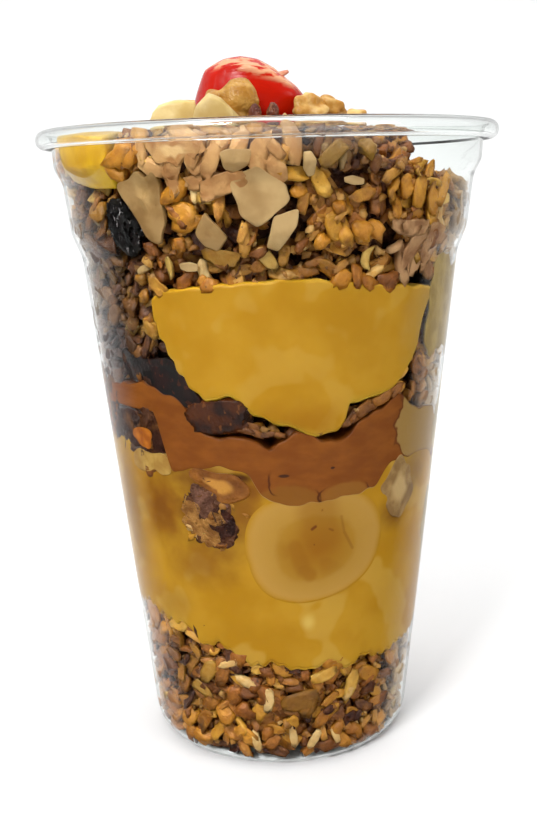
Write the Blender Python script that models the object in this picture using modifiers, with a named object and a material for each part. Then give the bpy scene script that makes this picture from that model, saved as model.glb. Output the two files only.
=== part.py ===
"""Granola parfait in a clear plastic cup.

From below: granola, custard with a banana slice, a band of caramel spread, a thin granola layer,
custard, and a mound of granola with fruit, nuts and coconut. Metres, +Z up. The origin is the middle
of the foot, the front of the food faces -Y, and an azimuth is measured from -Y towards +X in degrees.
"""

import math

import bmesh
import bpy
import numpy as np
from mathutils import Matrix, Vector
from mathutils.bvhtree import BVHTree

MM = 0.001
PARFAIT = "granola_parfait"

# Cup: outer surface, its wall and its foot
CUP_HEIGHT = 135.0 * MM
WALL = 0.6 * MM
SIDE_RADIUS_AT_FOOT = 29.04 * MM
STEP_LOW = (CUP_HEIGHT - 26.45 * MM, 40.71 * MM)
STEP_HIGH = (CUP_HEIGHT - 21.3 * MM, 42.74 * MM)
SHOULDER_LOW = (CUP_HEIGHT - 10.95 * MM, 43.93 * MM)
SHOULDER_HIGH = (CUP_HEIGHT - 7.7 * MM, 45.59 * MM)
COLLAR_TOP = (CUP_HEIGHT - 3.9 * MM, 45.8 * MM)
HEEL_RISE = 4.9 * MM
HEEL_RUN = 3.1 * MM
HEEL_POINTS = 4
LIP_POINTS = 7
PANEL_RISE = 1.6 * MM
PANEL_RADIUS = 21.5 * MM
RING_RADIUS = 23.4 * MM
LIP_RADIUS = 49.0 * MM
LIP_WIDTH = 3.5 * MM
LIP_DROP = 3.8 * MM
CUP_SEGMENTS = 32

# Clearances between solids, and the depth by which a granola core stands back from the wall
CUP_GAP = 0.4 * MM
FOOD_GAP = 0.35 * MM
REST_GAP = 0.45 * MM
EDGE = 0.5 * MM
CORE_DEPTH = 3.2 * MM
CORE_GAP = 0.6 * MM
WELD = 0.005 * MM
FLOOR_EDGE = 2.6 * MM
TALLEST = 20.0 * MM

# Heights in mm at the wall, at a few azimuths in degrees; the outline between them is smooth
BASE_TOP = (
    (-165, 27), (-120, 30), (-85, 33), (-57, 33.5), (-40, 31.5), (-22, 28), (-6, 25), (15, 24),
    (50, 23.5), (75, 25), (105, 29), (140, 26),
)
LOWER_CUSTARD_TOP = (
    (-165, 64), (-130, 68), (-100, 70), (-75, 72), (-57, 71), (-48, 66), (-36, 67.5), (-16, 69.5),
    (-9, 68), (-4, 63.5), (4, 61.3), (20, 62), (33, 63), (42, 68), (60, 68), (80, 63), (110, 66),
    (145, 60),
)
CARAMEL_TOP = (
    (-165, 79), (-130, 82), (-95, 85), (-70, 83), (-51, 84.9), (-36, 83.8), (-28, 81.5), (-22, 76.4),
    (-16, 74.3), (5, 74.8), (17, 74.3), (22, 77.5), (30, 80.3), (43, 81), (54, 78), (75, 74),
    (105, 78), (140, 73),
)
UPPER_CUSTARD_LOW = (
    (-165, 85), (-145, 90), (-131, 99), (-121, 91), (-60, 90), (-43, 92), (-36, 100), (-31, 91),
    (-26, 85.8), (-21, 82.6), (-13, 83.2), (-4, 79), (8, 76.4), (16, 75.6), (20, 76.6), (24, 81),
    (37, 82.5), (46, 87), (50, 93), (54, 100), (62, 91), (115, 91), (130, 99), (140, 90), (155, 83),
)
UPPER_CUSTARD_TOP = (
    (-165, 104), (-130, 102), (-95, 101), (-60, 102), (-36, 103.4), (-11, 105.3), (5, 106), (32, 104.2),
    (55, 102.6), (90, 101), (130, 103), (165, 106),
)
GRANOLA_RIM = (
    (-165, 127), (-130, 129), (-95, 131), (-66, 133), (-40, 134), (-15, 134), (10, 133.4), (24, 131.4),
    (33, 127.6), (45, 126.6), (60, 124.5), (80, 120.5), (105, 120.5), (135, 123), (160, 126),
)

# Heights in mm where the layers meet in the middle of the cup
BASE_TOP_MIDDLE = 27.0
LOWER_CUSTARD_TOP_MIDDLE = 66.0
CARAMEL_TOP_MIDDLE = 76.0
UPPER_CUSTARD_LOW_MIDDLE = 80.5
UPPER_CUSTARD_TOP_MIDDLE = 105.0

# The custard above touches the wall in front and behind; elsewhere granola runs down beside it
CUSTARD_CONTACTS = ((-36.0, 54.0), (132.0, 228.0))
CUSTARD_RETREAT = 6.0 * MM
CONTACT_BLEND = 2.0
SIDE_GRANOLA_LOW = 92.5 * MM

# Hollow under the left of the caramel, where crumbs show: azimuths and the height of its roof in mm
HOLLOW_FROM, HOLLOW_TO = -66.0, -35.0
HOLLOW_ROOF = 79.0 * MM
HOLLOW_BLEND = 6.0

# Mound: height in the middle, fall towards its edge, and the steep edge beside the free space
MOUND_TOP = 134.2 * MM
MOUND_FALL = 1.0 * MM
MOUND_EDGE = 30.5 * MM
MOUND_EDGE_WIDTH = 2.6 * MM
MOUND_GRAINS = 44
MOUND_REACH = 41.0 * MM
MOUND_GRAIN_SCALE = 1.25
MOUND_RADII = (37.0 * MM, 32.6 * MM, 28.4 * MM, 15.0 * MM)

# Banana slices: how thick they are, and how far the middle of a slice is from the wall in mm
BANANA_DEPTH = 11.0 * MM
BANANA_SUNK = 1.6

# Cashew piece: points along its line, and how far its ends narrow
NUT_POINTS = 7
NUT_TAPER = 0.86

# Grains fused to a granola core, in mm: oats and clusters, and how they shorten to fit
OAT_LENGTHS = (4.6, 6.6)
CLUSTER_LENGTHS = (6.5, 8.5)
CLUSTER_SHARE = 0.25
GRAIN_THICKNESS = (3.6, 4.4)
GRAIN_WIDTH_SHARE = (0.55, 0.8)
GRAIN_UNEVENNESS = 0.14
GRAIN_FITS = (1.0, 0.85, 0.7, 0.58)
GRAIN_ROOT = 1.2
GRAIN_SUNK = 0.47
GRAIN_RAISED = 0.22
GRAIN_TILT = 0.5
GRAIN_SPREAD = 0.25
GOLDEN_ANGLE = 137.508
SPIRAL_JITTER = 6.0
WALL_GRAINS_TOP = (3, 16)
WALL_GRAINS_MIDDLE = (1, 20)
WALL_GRAINS_BASE = (3, 12)

# Azimuth stations: close together in front, wider behind, and three at each end of a contact
FRONT_STEP, BACK_STEP, FRONT_HALF = 8.0, 16.0, 60.0
LEAST_STEP = 3.0
END_AZIMUTHS = np.array([
    (end + side * step * CONTACT_BLEND) % 360.0
    for ends in CUSTARD_CONTACTS for end, side in zip(ends, (-1, 1)) for step in (0, 1, 2)
])
REGULAR_AZIMUTHS = np.concatenate([
    np.arange(-FRONT_HALF, FRONT_HALF, FRONT_STEP), np.arange(FRONT_HALF, 360.0 - FRONT_HALF, BACK_STEP),
]) % 360.0
FAR_FROM_ENDS = np.abs(REGULAR_AZIMUTHS[:, None] - END_AZIMUTHS).min(axis=1) > LEAST_STEP
FOOD_AZIMUTHS = np.sort(np.concatenate([REGULAR_AZIMUTHS[FAR_FROM_ENDS], END_AZIMUTHS]))
LAYER_SHARES = (0.5, 0.8, 0.9)
TOP_SHARES = (0.5, 0.8, 0.9, 0.92)
BEYOND_WALL = 50.0 * MM
WALL_LEAN = 6.1

# Colours (linear) and roughness
CLEAR = ((0.85, 0.87, 0.86), 0.08)
GRANOLA = ((0.36, 0.19, 0.06), 0.75)
CUSTARD = ((0.56, 0.32, 0.05), 0.35)
BANANA = ((0.62, 0.42, 0.13), 0.5)
CARAMEL = ((0.25, 0.105, 0.026), 0.35)
NUT = ((0.62, 0.50, 0.29), 0.5)
COCONUT = ((0.60, 0.46, 0.31), 0.6)
BERRY = ((0.62, 0.03, 0.012), 0.2)
MANGO = ((0.80, 0.50, 0.05), 0.3)
RAISIN = ((0.02, 0.014, 0.013), 0.3)
BROWN_FRUIT = ((0.12, 0.045, 0.02), 0.3)


# Numbers and outlines

def smoothstep(x):
    """0 below 0, 1 above 1, and 3x^2 - 2x^3 between."""
    x = np.clip(x, 0.0, 1.0)
    return x * x * (3.0 - 2.0 * x)


def outline(points):
    """Height in metres at any azimuth: a monotone cubic through the points, closed round the cup."""
    azimuth, height = np.array(sorted(points), float).T
    azimuth = np.concatenate([azimuth[-2:] - 360.0, azimuth, azimuth[:2] + 360.0])
    height = np.concatenate([height[-2:], height, height[:2]]) * MM
    run = np.diff(azimuth)
    slope = np.diff(height) / run
    product = slope[:-1] * slope[1:]
    total = slope[:-1] + slope[1:]
    tangent = np.zeros_like(height)
    rising = product > 0.0
    tangent[1:-1][rising] = 2.0 * product[rising] / total[rising]

    def height_at(angle):
        angle = (np.asarray(angle, float) + 180.0) % 360.0 - 180.0
        k = np.clip(np.searchsorted(azimuth, angle, side="right") - 1, 0, len(run) - 1)
        t = (angle - azimuth[k]) / run[k]
        start = (1.0 + 2.0 * t) * (1.0 - t) ** 2 * height[k] + t * (1.0 - t) ** 2 * run[k] * tangent[k]
        end = t * t * (3.0 - 2.0 * t) * height[k + 1] + t * t * (t - 1.0) * run[k] * tangent[k + 1]
        return start + end

    return height_at


def interface(points, middle, shift=0.0):
    """Height of a face between layers: flat in the middle, and following the outline near the wall."""
    at_wall = outline(points)

    def height_at(azimuth, radius):
        edge = at_wall(azimuth)
        share = radius / inner_radius(edge)
        return shift + middle * MM + (edge - middle * MM) * smoothstep((share - 0.45) / 0.5)

    return height_at


# Cup wall

SIDE = ((0.0, SIDE_RADIUS_AT_FOOT), STEP_LOW, STEP_HIGH, SHOULDER_LOW, SHOULDER_HIGH, COLLAR_TOP)
WALL_HEIGHTS = tuple(height for height, radius in SIDE)
WALL_RADII = tuple(radius for height, radius in SIDE)


def side_radius(z):
    """Outer radius of the cup's side, without its rounded heel."""
    return np.interp(z, WALL_HEIGHTS, WALL_RADII)


def inner_radius(z):
    """Inner radius of the cup; an ellipse rounds the heel."""
    depth = np.clip((HEEL_RISE - z) / (HEEL_RISE - WALL), 0.0, 1.0)
    return side_radius(z) - WALL - (HEEL_RUN - WALL) * (1.0 - np.sqrt(1.0 - depth ** 2))


def heel_profile(inset):
    """(r, z) points down the heel's quarter ellipse, at a distance inside the outer surface."""
    arc = np.radians(np.linspace(0.0, 90.0, HEEL_POINTS))
    z = inset + (HEEL_RISE - inset) * (1.0 - np.sin(arc))
    r = side_radius(z) - inset - (HEEL_RUN - inset) * (1.0 - np.cos(arc))
    return list(zip(r, z))


def side_profile(inset):
    """(r, z) points up the side, at a distance inside the outer surface."""
    return [(r - inset, z) for z, r in zip(WALL_HEIGHTS[1:], WALL_RADII[1:])]


def lip_profile(inset, points):
    """(r, z) points over the lip: an oval from its inner side over the top to its underside."""
    angles = np.radians(np.linspace(180.0, -90.0, points))
    r = LIP_RADIUS - LIP_WIDTH / 2 + (LIP_WIDTH / 2 - inset) * np.cos(angles)
    z = CUP_HEIGHT - LIP_DROP / 2 + (LIP_DROP / 2 - inset) * np.sin(angles)
    return list(zip(r, z))


def cup_profile():
    """Closed wall: up the inside, over the lip, back under it, and down the outside to the axis."""
    inside = [(0.0, PANEL_RISE + WALL), (PANEL_RADIUS, PANEL_RISE + WALL), (RING_RADIUS, WALL)]
    inside += heel_profile(WALL)[::-1] + side_profile(WALL)
    lip = lip_profile(0.0, LIP_POINTS) + lip_profile(WALL, LIP_POINTS - 2)[::-1]
    outside = side_profile(0.0)[::-1] + heel_profile(0.0)
    outside += [(RING_RADIUS, 0.0), (PANEL_RADIUS, PANEL_RISE), (0.0, PANEL_RISE)]
    return inside + lip + outside


# Objects

def material(name, finish):
    """Principled material of one colour and roughness."""
    found = bpy.data.materials.get(name)
    if found:
        return found
    colour, roughness = finish
    made = bpy.data.materials.new(name)
    made.use_nodes = True
    shader = made.node_tree.nodes["Principled BSDF"]
    shader.inputs["Base Color"].default_value = (*colour, 1.0)
    shader.inputs["Roughness"].default_value = roughness
    shader.inputs["Metallic"].default_value = 0.0
    made.diffuse_color = (*colour, 1.0)
    return made


def add_object(name, mesh, collection):
    """New object for a mesh, in a collection."""
    obj = bpy.data.objects.new(name, mesh)
    collection.objects.link(obj)
    return obj


def solid(name, vertices, faces):
    """Food object from vertices and faces, in the parfait's collection."""
    mesh = bpy.data.meshes.new(name)
    mesh.from_pydata([tuple(v) for v in vertices], [], faces)
    mesh.validate()
    return add_object(name, mesh, bpy.data.collections[PARFAIT])


def dress(obj, finish, smooth_angle=35.0):
    """Give an object its own material and smooth shading with sharp edges kept."""
    obj.data.materials.clear()
    obj.data.materials.append(material(obj.name, finish))
    obj.data.shade_smooth()
    obj.data.set_sharp_from_angle(angle=math.radians(smooth_angle))


def bake(obj):
    """Replace an object's mesh by its evaluated one, in world space."""
    bpy.context.view_layer.update()
    depsgraph = bpy.context.evaluated_depsgraph_get()
    mesh = bpy.data.meshes.new_from_object(obj.evaluated_get(depsgraph))
    mesh.transform(obj.matrix_world)
    obj.modifiers.clear()
    obj.data = mesh
    obj.matrix_world = Matrix.Identity(4)
    return obj


def is_closed(obj):
    """True when each edge of the object's evaluated mesh joins exactly two faces."""
    bpy.context.view_layer.update()
    work = bmesh.new()
    work.from_object(obj, bpy.context.evaluated_depsgraph_get())
    closed = all(len(edge.link_faces) == 2 for edge in work.edges)
    work.free()
    return closed


def boolean(obj, operation, tool=None, tools=None):
    """Apply one Boolean with an object or a collection, and remove what it used."""
    modifier = obj.modifiers.new(operation, "BOOLEAN")
    modifier.operation = operation
    if tools:
        modifier.operand_type = "COLLECTION"
        modifier.collection = tools
        used = list(tools.objects)
    else:
        modifier.object = tool
        used = [tool]
    if tools or not is_closed(obj):
        modifier.solver = "MANIFOLD"
    bake(obj)
    for spent in used:
        bpy.data.objects.remove(spent, do_unlink=True)
    keep_largest_shell(obj)


def keep_largest_shell(obj):
    """Drop loose scraps and fill sealed hollows: only the shell of the greatest volume stays."""
    work = bmesh.new()
    work.from_mesh(obj.data)
    shells = []
    unseen = set(work.faces)
    while unseen:
        start = unseen.pop()
        shell = [start]
        edge_of_shell = [start]
        while edge_of_shell:
            face = edge_of_shell.pop()
            for edge in face.edges:
                for neighbour in edge.link_faces:
                    if neighbour in unseen:
                        unseen.remove(neighbour)
                        shell.append(neighbour)
                        edge_of_shell.append(neighbour)
        shells.append(shell)
    shells.sort(key=shell_volume)
    spare = [face for shell in shells[:-1] for face in shell]
    bmesh.ops.delete(work, geom=spare, context="FACES")
    work.to_mesh(obj.data)
    work.free()


def shell_volume(faces):
    """Signed volume inside faces, as a sum of the pyramids from the origin over fans of each face."""
    total = 0.0
    for face in faces:
        corners = [vertex.co for vertex in face.verts]
        for a, b in zip(corners[1:-1], corners[2:]):
            total += corners[0].dot(a.cross(b)) / 6.0
    return total


def swollen(obj, distance):
    """Cutter: a copy of an object in world space with its faces moved outwards by a distance."""
    bpy.context.view_layer.update()
    work = bmesh.new()
    work.from_mesh(obj.data)
    work.transform(obj.matrix_world)
    bmesh.ops.triangulate(work, faces=work.faces)
    work.normal_update()
    moves = [vertex.normal * distance * min(vertex.calc_shell_factor(), 2.0) for vertex in work.verts]
    for vertex, move in zip(work.verts, moves):
        vertex.co += move
    mesh = bpy.data.meshes.new(obj.name + "_cutter")
    work.to_mesh(mesh)
    work.free()
    cutter = add_object(mesh.name, mesh, bpy.data.collections["cutters"])
    cutter.hide_render = True
    cutter.display_type = "WIRE"
    return cutter


def tree_of(obj):
    """Search tree over an object's faces in world space."""
    bpy.context.view_layer.update()
    vertices = [obj.matrix_world @ vertex.co for vertex in obj.data.vertices]
    return BVHTree.FromPolygons(vertices, [tuple(face.vertices) for face in obj.data.polygons])


def make_room(obj, *neighbours):
    """Cut an object round those neighbours that come within the food gap of it."""
    for neighbour in neighbours:
        cutter = swollen(neighbour, FOOD_GAP)
        if tree_of(obj).overlap(tree_of(cutter)):
            boolean(obj, "DIFFERENCE", cutter)
        else:
            bpy.data.objects.remove(cutter, do_unlink=True)


def trim_to_cup(obj):
    """Keep the part of an object that lies inside the cup, clear of its wall."""
    heights = np.array([FLOOR_EDGE, HEEL_RISE, *WALL_HEIGHTS[1:], CUP_HEIGHT + TALLEST])
    rings = [np.array([(inner_radius(z) - CUP_GAP, z)] * CUP_SEGMENTS) for z in heights]
    azimuths = np.arange(CUP_SEGMENTS) * 360.0 / CUP_SEGMENTS
    room = loft("cup_room", rings, heights[0], heights[-1], azimuths)
    boolean(obj, "INTERSECT", room)


# Food layers

def loft(name, rings, low_pole, high_pole, azimuths):
    """Closed solid round the axis through rings of (r, z), from a pole below to a pole above."""
    angle = np.radians(azimuths)
    count = len(azimuths)
    vertices = [(0.0, 0.0, float(low_pole))]
    for ring in rings:
        vertices += list(zip(ring[:, 0] * np.sin(angle), -ring[:, 0] * np.cos(angle), ring[:, 1]))
    vertices.append((0.0, 0.0, float(high_pole)))
    top = len(vertices) - 1
    faces = []
    for i in range(count):
        j = (i + 1) % count
        faces.append((0, 1 + j, 1 + i))
        for k in range(len(rings) - 1):
            row = 1 + k * count
            a, b, c, d = row + i, row + j, row + count + j, row + count + i
            if rings[k + 1][:, 0].mean() > rings[k][:, 0].mean():
                faces += [(a, b, c), (a, c, d)]
            else:
                faces += [(a, b, d), (b, c, d)]
        row = 1 + (len(rings) - 1) * count
        faces.append((row + i, row + j, top))
    return solid(name, vertices, faces)


def wall_reach(height_at):
    """Radius by azimuth where a face between layers meets the wall, less the cup gap."""
    return inner_radius(height_at(FOOD_AZIMUTHS, BEYOND_WALL)) - CUP_GAP


def face_rings(height_at, shares=LAYER_SHARES, limit=BEYOND_WALL):
    """Rings of (r, z) over a face between layers, at shares of the way to the wall, inside a limit."""
    rings = []
    for share in shares:
        radius = np.minimum(share * wall_reach(height_at), limit)
        rings.append(np.stack([radius, height_at(FOOD_AZIMUTHS, radius)], -1))
    return rings


def layer(name, low, high, retreat=0.0, low_edge_lift=0.0):
    """Layer between two faces, out to the wall less a retreat, with small chamfers at its edges."""
    low_reach = wall_reach(low) - retreat
    high_reach = wall_reach(high) - retreat
    low_edge = low(FOOD_AZIMUTHS, low_reach) + low_edge_lift + EDGE
    high_edge = np.maximum(high(FOOD_AZIMUTHS, high_reach) - EDGE, low_edge + EDGE)
    rings = face_rings(low, limit=low_reach - EDGE)
    for edge in (low_edge, high_edge):
        rings.append(np.stack([inner_radius(edge) - CUP_GAP - retreat, edge], -1))
    rings += face_rings(high, limit=high_reach - EDGE)[::-1]
    return loft(name, rings, low(0.0, 0.0), high(0.0, 0.0), FOOD_AZIMUTHS)


def contact(azimuth):
    """1 where the upper custard touches the wall, 0 where granola lies between."""
    touch = np.zeros_like(np.asarray(azimuth, float))
    for start, end in CUSTARD_CONTACTS:
        away = np.abs((azimuth - (start + end) / 2 + 180.0) % 360.0 - 180.0)
        past_end = away - (end - start) / 2
        touch = np.maximum(touch, np.clip(1.0 - past_end / CONTACT_BLEND, 0.0, 1.0))
    return touch


def mound(azimuth, radius):
    """Top of the granola: a low dome that meets the rim, with a steep edge beside the free space."""
    rim = outline(GRANOLA_RIM)(azimuth)
    dome = MOUND_TOP - MOUND_FALL * (radius / MOUND_EDGE) ** 2
    inside = smoothstep((MOUND_EDGE + MOUND_EDGE_WIDTH - radius) / (2 * MOUND_EDGE_WIDTH))
    return rim + (dome - rim) * inside


def core_side(low_edge, high_edge, shares):
    """Rings of (r, z) up the side of a granola core, which stands back from the wall."""
    rings = []
    for share in shares:
        z = low_edge + (high_edge - low_edge) * share
        rings.append(np.stack([inner_radius(z) - CORE_DEPTH, z], -1))
    return rings


def level_ring(radius, z):
    """Ring at one radius and one height."""
    return np.array([(radius, z)] * len(FOOD_AZIMUTHS))


# Separate pieces

def stand_at_wall(obj, azimuth, height, depth, lean=WALL_LEAN, spin=0.0):
    """Place a piece that faces -Y against the wall: depth is from the wall to the piece's middle."""
    radius = float(inner_radius(height * MM)) - CUP_GAP - depth * MM
    turn = math.radians(azimuth)
    obj.location = (radius * math.sin(turn), -radius * math.cos(turn), height * MM)
    turned = Matrix.Rotation(turn, 4, "Z") @ Matrix.Rotation(math.radians(lean), 4, "X")
    obj.rotation_euler = (turned @ Matrix.Rotation(math.radians(spin), 4, "Y")).to_euler()
    return obj


def mesh_from_curve(name, curve):
    """Closed mesh of a curve with its caps welded on."""
    guide = add_object(curve.name, curve, bpy.data.collections["cutters"])
    bpy.context.view_layer.update()
    depsgraph = bpy.context.evaluated_depsgraph_get()
    mesh = bpy.data.meshes.new_from_object(guide.evaluated_get(depsgraph))
    bpy.data.objects.remove(guide, do_unlink=True)
    work = bmesh.new()
    work.from_mesh(mesh)
    bmesh.ops.remove_doubles(work, verts=work.verts, dist=WELD)
    bmesh.ops.recalc_face_normals(work, faces=work.faces)
    work.to_mesh(mesh)
    work.free()
    mesh.name = name
    return mesh


def flat_piece(name, corners, thickness, finish):
    """Flat chip standing in the XZ plane: an extruded outline in mm."""
    curve = bpy.data.curves.new(name + "_outline", "CURVE")
    curve.dimensions = "2D"
    curve.fill_mode = "BOTH"
    curve.extrude = thickness / 2 * MM
    spline = curve.splines.new("POLY")
    spline.points.add(len(corners) - 1)
    for point, (x, y) in zip(spline.points, corners):
        point.co = (x * MM, y * MM, 0.0, 1.0)
    spline.use_cyclic_u = True
    mesh = mesh_from_curve(name, curve)
    mesh.transform(Matrix.Rotation(math.radians(90.0), 4, "X"))
    obj = add_object(name, mesh, bpy.data.collections[PARFAIT])
    dress(obj, finish)
    return obj


def oval(width, height, points=12, taper=0.0):
    """Corners in mm of an oval, narrower towards +X by the taper."""
    angles = np.radians(np.arange(points) * 360.0 / points)
    x = width / 2 * np.cos(angles)
    y = height / 2 * np.sin(angles) * (1.0 - taper * np.cos(angles))
    return list(zip(x, y))


def lump(name, size, finish, seed, unevenness=0.08, fineness=2, squareness=0.0, fall=0.0):
    """Uneven ball or rounded block, scaled to a size in mm; its top may fall towards +X."""
    work = bmesh.new()
    bmesh.ops.create_icosphere(work, subdivisions=fineness, radius=0.5)
    rng = np.random.default_rng(seed)
    for vertex in work.verts:
        largest = max(abs(vertex.co.x), abs(vertex.co.y), abs(vertex.co.z))
        vertex.co *= 1.0 + squareness * (0.5 / largest - 1.0)
        vertex.co *= 1.0 + unevenness * rng.uniform(-1.0, 1.0)
        if vertex.co.z > 0.0:
            vertex.co.z *= 1.0 - fall * float(smoothstep(vertex.co.x + 0.5))
    work.transform(Matrix.Diagonal((size[0] * MM, size[1] * MM, size[2] * MM, 1.0)))
    mesh = bpy.data.meshes.new(name)
    work.to_mesh(mesh)
    work.free()
    obj = add_object(name, mesh, bpy.data.collections[PARFAIT])
    dress(obj, finish)
    return obj


def lay(obj, x, y, turn=(0.0, 0.0, 0.0)):
    """Turn a piece by angles in degrees, and let it down at (x, y) in mm until it rests on the mound."""
    obj.rotation_euler = tuple(math.radians(angle) for angle in turn)
    obj.location = (x * MM, y * MM, CUP_HEIGHT)
    bake(obj)
    place = np.array([vertex.co for vertex in obj.data.vertices])
    azimuth = np.degrees(np.arctan2(place[:, 0], -place[:, 1]))
    room = place[:, 2] - mound(azimuth, np.hypot(place[:, 0], place[:, 1]))
    obj.data.transform(Matrix.Translation((0.0, 0.0, REST_GAP - float(room.min()))))
    return obj


def curved_nut(name, length, thickness, bend, finish):
    """Cashew piece: a bent tube, thick in the middle and thin at its closed ends; sizes in mm."""
    curve = bpy.data.curves.new(name + "_line", "CURVE")
    curve.dimensions = "3D"
    curve.bevel_depth = thickness / 2 * MM
    curve.bevel_resolution = 1
    curve.use_fill_caps = True
    spline = curve.splines.new("POLY")
    spline.points.add(NUT_POINTS - 1)
    for point, t in zip(spline.points, np.linspace(-1.0, 1.0, NUT_POINTS)):
        point.co = (t * length / 2 * MM, 0.0, -bend * t * t * MM, 1.0)
        point.radius = math.sqrt(1.0 - NUT_TAPER * t * t)
    obj = add_object(name, mesh_from_curve(name, curve), bpy.data.collections[PARFAIT])
    dress(obj, finish)
    return obj


# Granola pieces fused to a core

class Neighbours:
    """Everything that a granola piece has to stay clear of."""

    def __init__(self, objects):
        bpy.context.view_layer.update()
        vertices = []
        faces = []
        for obj in objects:
            start = len(vertices)
            vertices += [obj.matrix_world @ vertex.co for vertex in obj.data.vertices]
            faces += [tuple(start + k for k in face.vertices) for face in obj.data.polygons]
        self.tree = BVHTree.FromPolygons(vertices, faces)

    def clear_of(self, vertices, faces):
        """True when the piece crosses nothing and each vertex is outside by the food gap."""
        for vertex in vertices:
            place, normal, _, distance = self.tree.find_nearest(vertex)
            if distance < FOOD_GAP or (vertex - place).dot(normal) < 0.0:
                return False
        return not self.tree.overlap(BVHTree.FromPolygons(vertices, faces))


def granule(rng, size, frame):
    """Vertices and faces of one uneven grain: a jittered icosahedron kept inside the cup."""
    work = bmesh.new()
    bmesh.ops.create_icosphere(work, subdivisions=1, radius=0.5)
    for vertex in work.verts:
        vertex.co *= 1.0 + GRAIN_UNEVENNESS * rng.uniform(-1.0, 1.0)
    work.transform(frame @ Matrix.Diagonal((*size, 1.0)))
    vertices = []
    for vertex in work.verts:
        radius = math.hypot(vertex.co.x, vertex.co.y)
        limit = float(inner_radius(vertex.co.z)) - CUP_GAP
        pull = min(1.0, limit / radius) if radius > 0.0 else 1.0
        vertices.append(Vector((vertex.co.x * pull, vertex.co.y * pull, vertex.co.z)))
    faces = [tuple(vertex.index for vertex in face.verts) for face in work.faces]
    work.free()
    return vertices, faces


def shortened(vertices, share):
    """A grain drawn together towards a point behind its middle."""
    middle = sum(vertices, Vector()) / len(vertices)
    inwards = Vector((-middle.x, -middle.y, 0.0)).normalized()
    anchor = middle + inwards * GRAIN_ROOT * MM
    return [anchor + (vertex - anchor) * share for vertex in vertices]


def fuse(core, placed, neighbours):
    """Join grains to a core by one union; one that meets a neighbour is shortened, or left out."""
    grains = bpy.data.collections.new(core.name + "_grains")
    bpy.context.scene.collection.children.link(grains)
    for number, (vertices, faces) in enumerate(placed):
        for share in GRAIN_FITS:
            shorter = shortened(vertices, share)
            if neighbours.clear_of(shorter, faces):
                mesh = bpy.data.meshes.new(f"grain_{number}")
                mesh.from_pydata([tuple(vertex) for vertex in shorter], [], faces)
                add_object(mesh.name, mesh, grains)
                break
    boolean(core, "UNION", tools=grains)
    bpy.data.collections.remove(grains)


def grain_size(rng):
    """Length, thickness and width of a grain: rolled oats, and a few larger clusters."""
    length = rng.uniform(*(CLUSTER_LENGTHS if rng.random() < CLUSTER_SHARE else OAT_LENGTHS))
    return Vector((length, rng.uniform(*GRAIN_THICKNESS), length * rng.uniform(*GRAIN_WIDTH_SHARE))) * MM


def grains_on_wall(rng, low, high, rows, per_row):
    """Grains lying flat against the wall on a jittered grid between two outlines."""
    placed = []
    for row in range(rows):
        for column in range(per_row):
            aside, above = rng.uniform(-GRAIN_SPREAD, GRAIN_SPREAD, 2)
            azimuth = (column + 0.5 * (row % 2) + aside) * 360.0 / per_row
            z = low(azimuth) + (high(azimuth) - low(azimuth)) * (row + 0.5 + above) / rows
            size = grain_size(rng)
            radius = float(inner_radius(z)) - CUP_GAP - size.y * GRAIN_SUNK
            turn = math.radians(azimuth)
            frame = Matrix.Translation((radius * math.sin(turn), -radius * math.cos(turn), z))
            frame @= Matrix.Rotation(turn, 4, "Z")
            frame @= Matrix.Rotation(rng.uniform(0.0, math.pi), 4, "Y")
            placed.append(granule(rng, size, frame))
    return placed


def grains_on_mound(rng, count, reach):
    """Larger grains on the mound: a sunflower spiral with random tilts."""
    placed = []
    for number in range(count):
        radius = reach * math.sqrt((number + 0.5) / count)
        azimuth = number * GOLDEN_ANGLE + rng.uniform(-SPIRAL_JITTER, SPIRAL_JITTER)
        turn = math.radians(azimuth)
        size = grain_size(rng) * MOUND_GRAIN_SCALE
        z = float(mound(azimuth, radius)) + size.y * GRAIN_RAISED
        frame = Matrix.Translation((radius * math.sin(turn), -radius * math.cos(turn), z))
        frame @= Matrix.Rotation(rng.uniform(0.0, 2.0 * math.pi), 4, "Z")
        frame @= Matrix.Rotation(math.pi / 2 + rng.uniform(-GRAIN_TILT, GRAIN_TILT), 4, "X")
        placed.append(granule(rng, size, frame))
    return placed


# The sub-parts

def build_cup():
    """Clear cup: its closed profile turned round the axis."""
    profile = cup_profile()
    mesh = bpy.data.meshes.new("cup")
    edges = [(k, k + 1) for k in range(len(profile) - 1)]
    mesh.from_pydata([(r, 0.0, z) for r, z in profile], edges, [])
    cup = add_object("cup", mesh, bpy.data.collections[PARFAIT])
    screw = cup.modifiers.new("turn", "SCREW")
    screw.steps = CUP_SEGMENTS
    screw.render_steps = CUP_SEGMENTS
    screw.use_merge_vertices = True
    screw.merge_threshold = WELD
    bake(cup)
    dress(cup, CLEAR, 50.0)
    return cup


def build_lower_custard():
    """Custard above the base, with a banana slice, a granola cluster and flakes at the wall."""
    low = interface(BASE_TOP, BASE_TOP_MIDDLE, FOOD_GAP)
    top = interface(LOWER_CUSTARD_TOP, LOWER_CUSTARD_TOP_MIDDLE)
    custard = layer("custard_lower", low, top)
    dress(custard, CUSTARD)
    return custard


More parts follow.
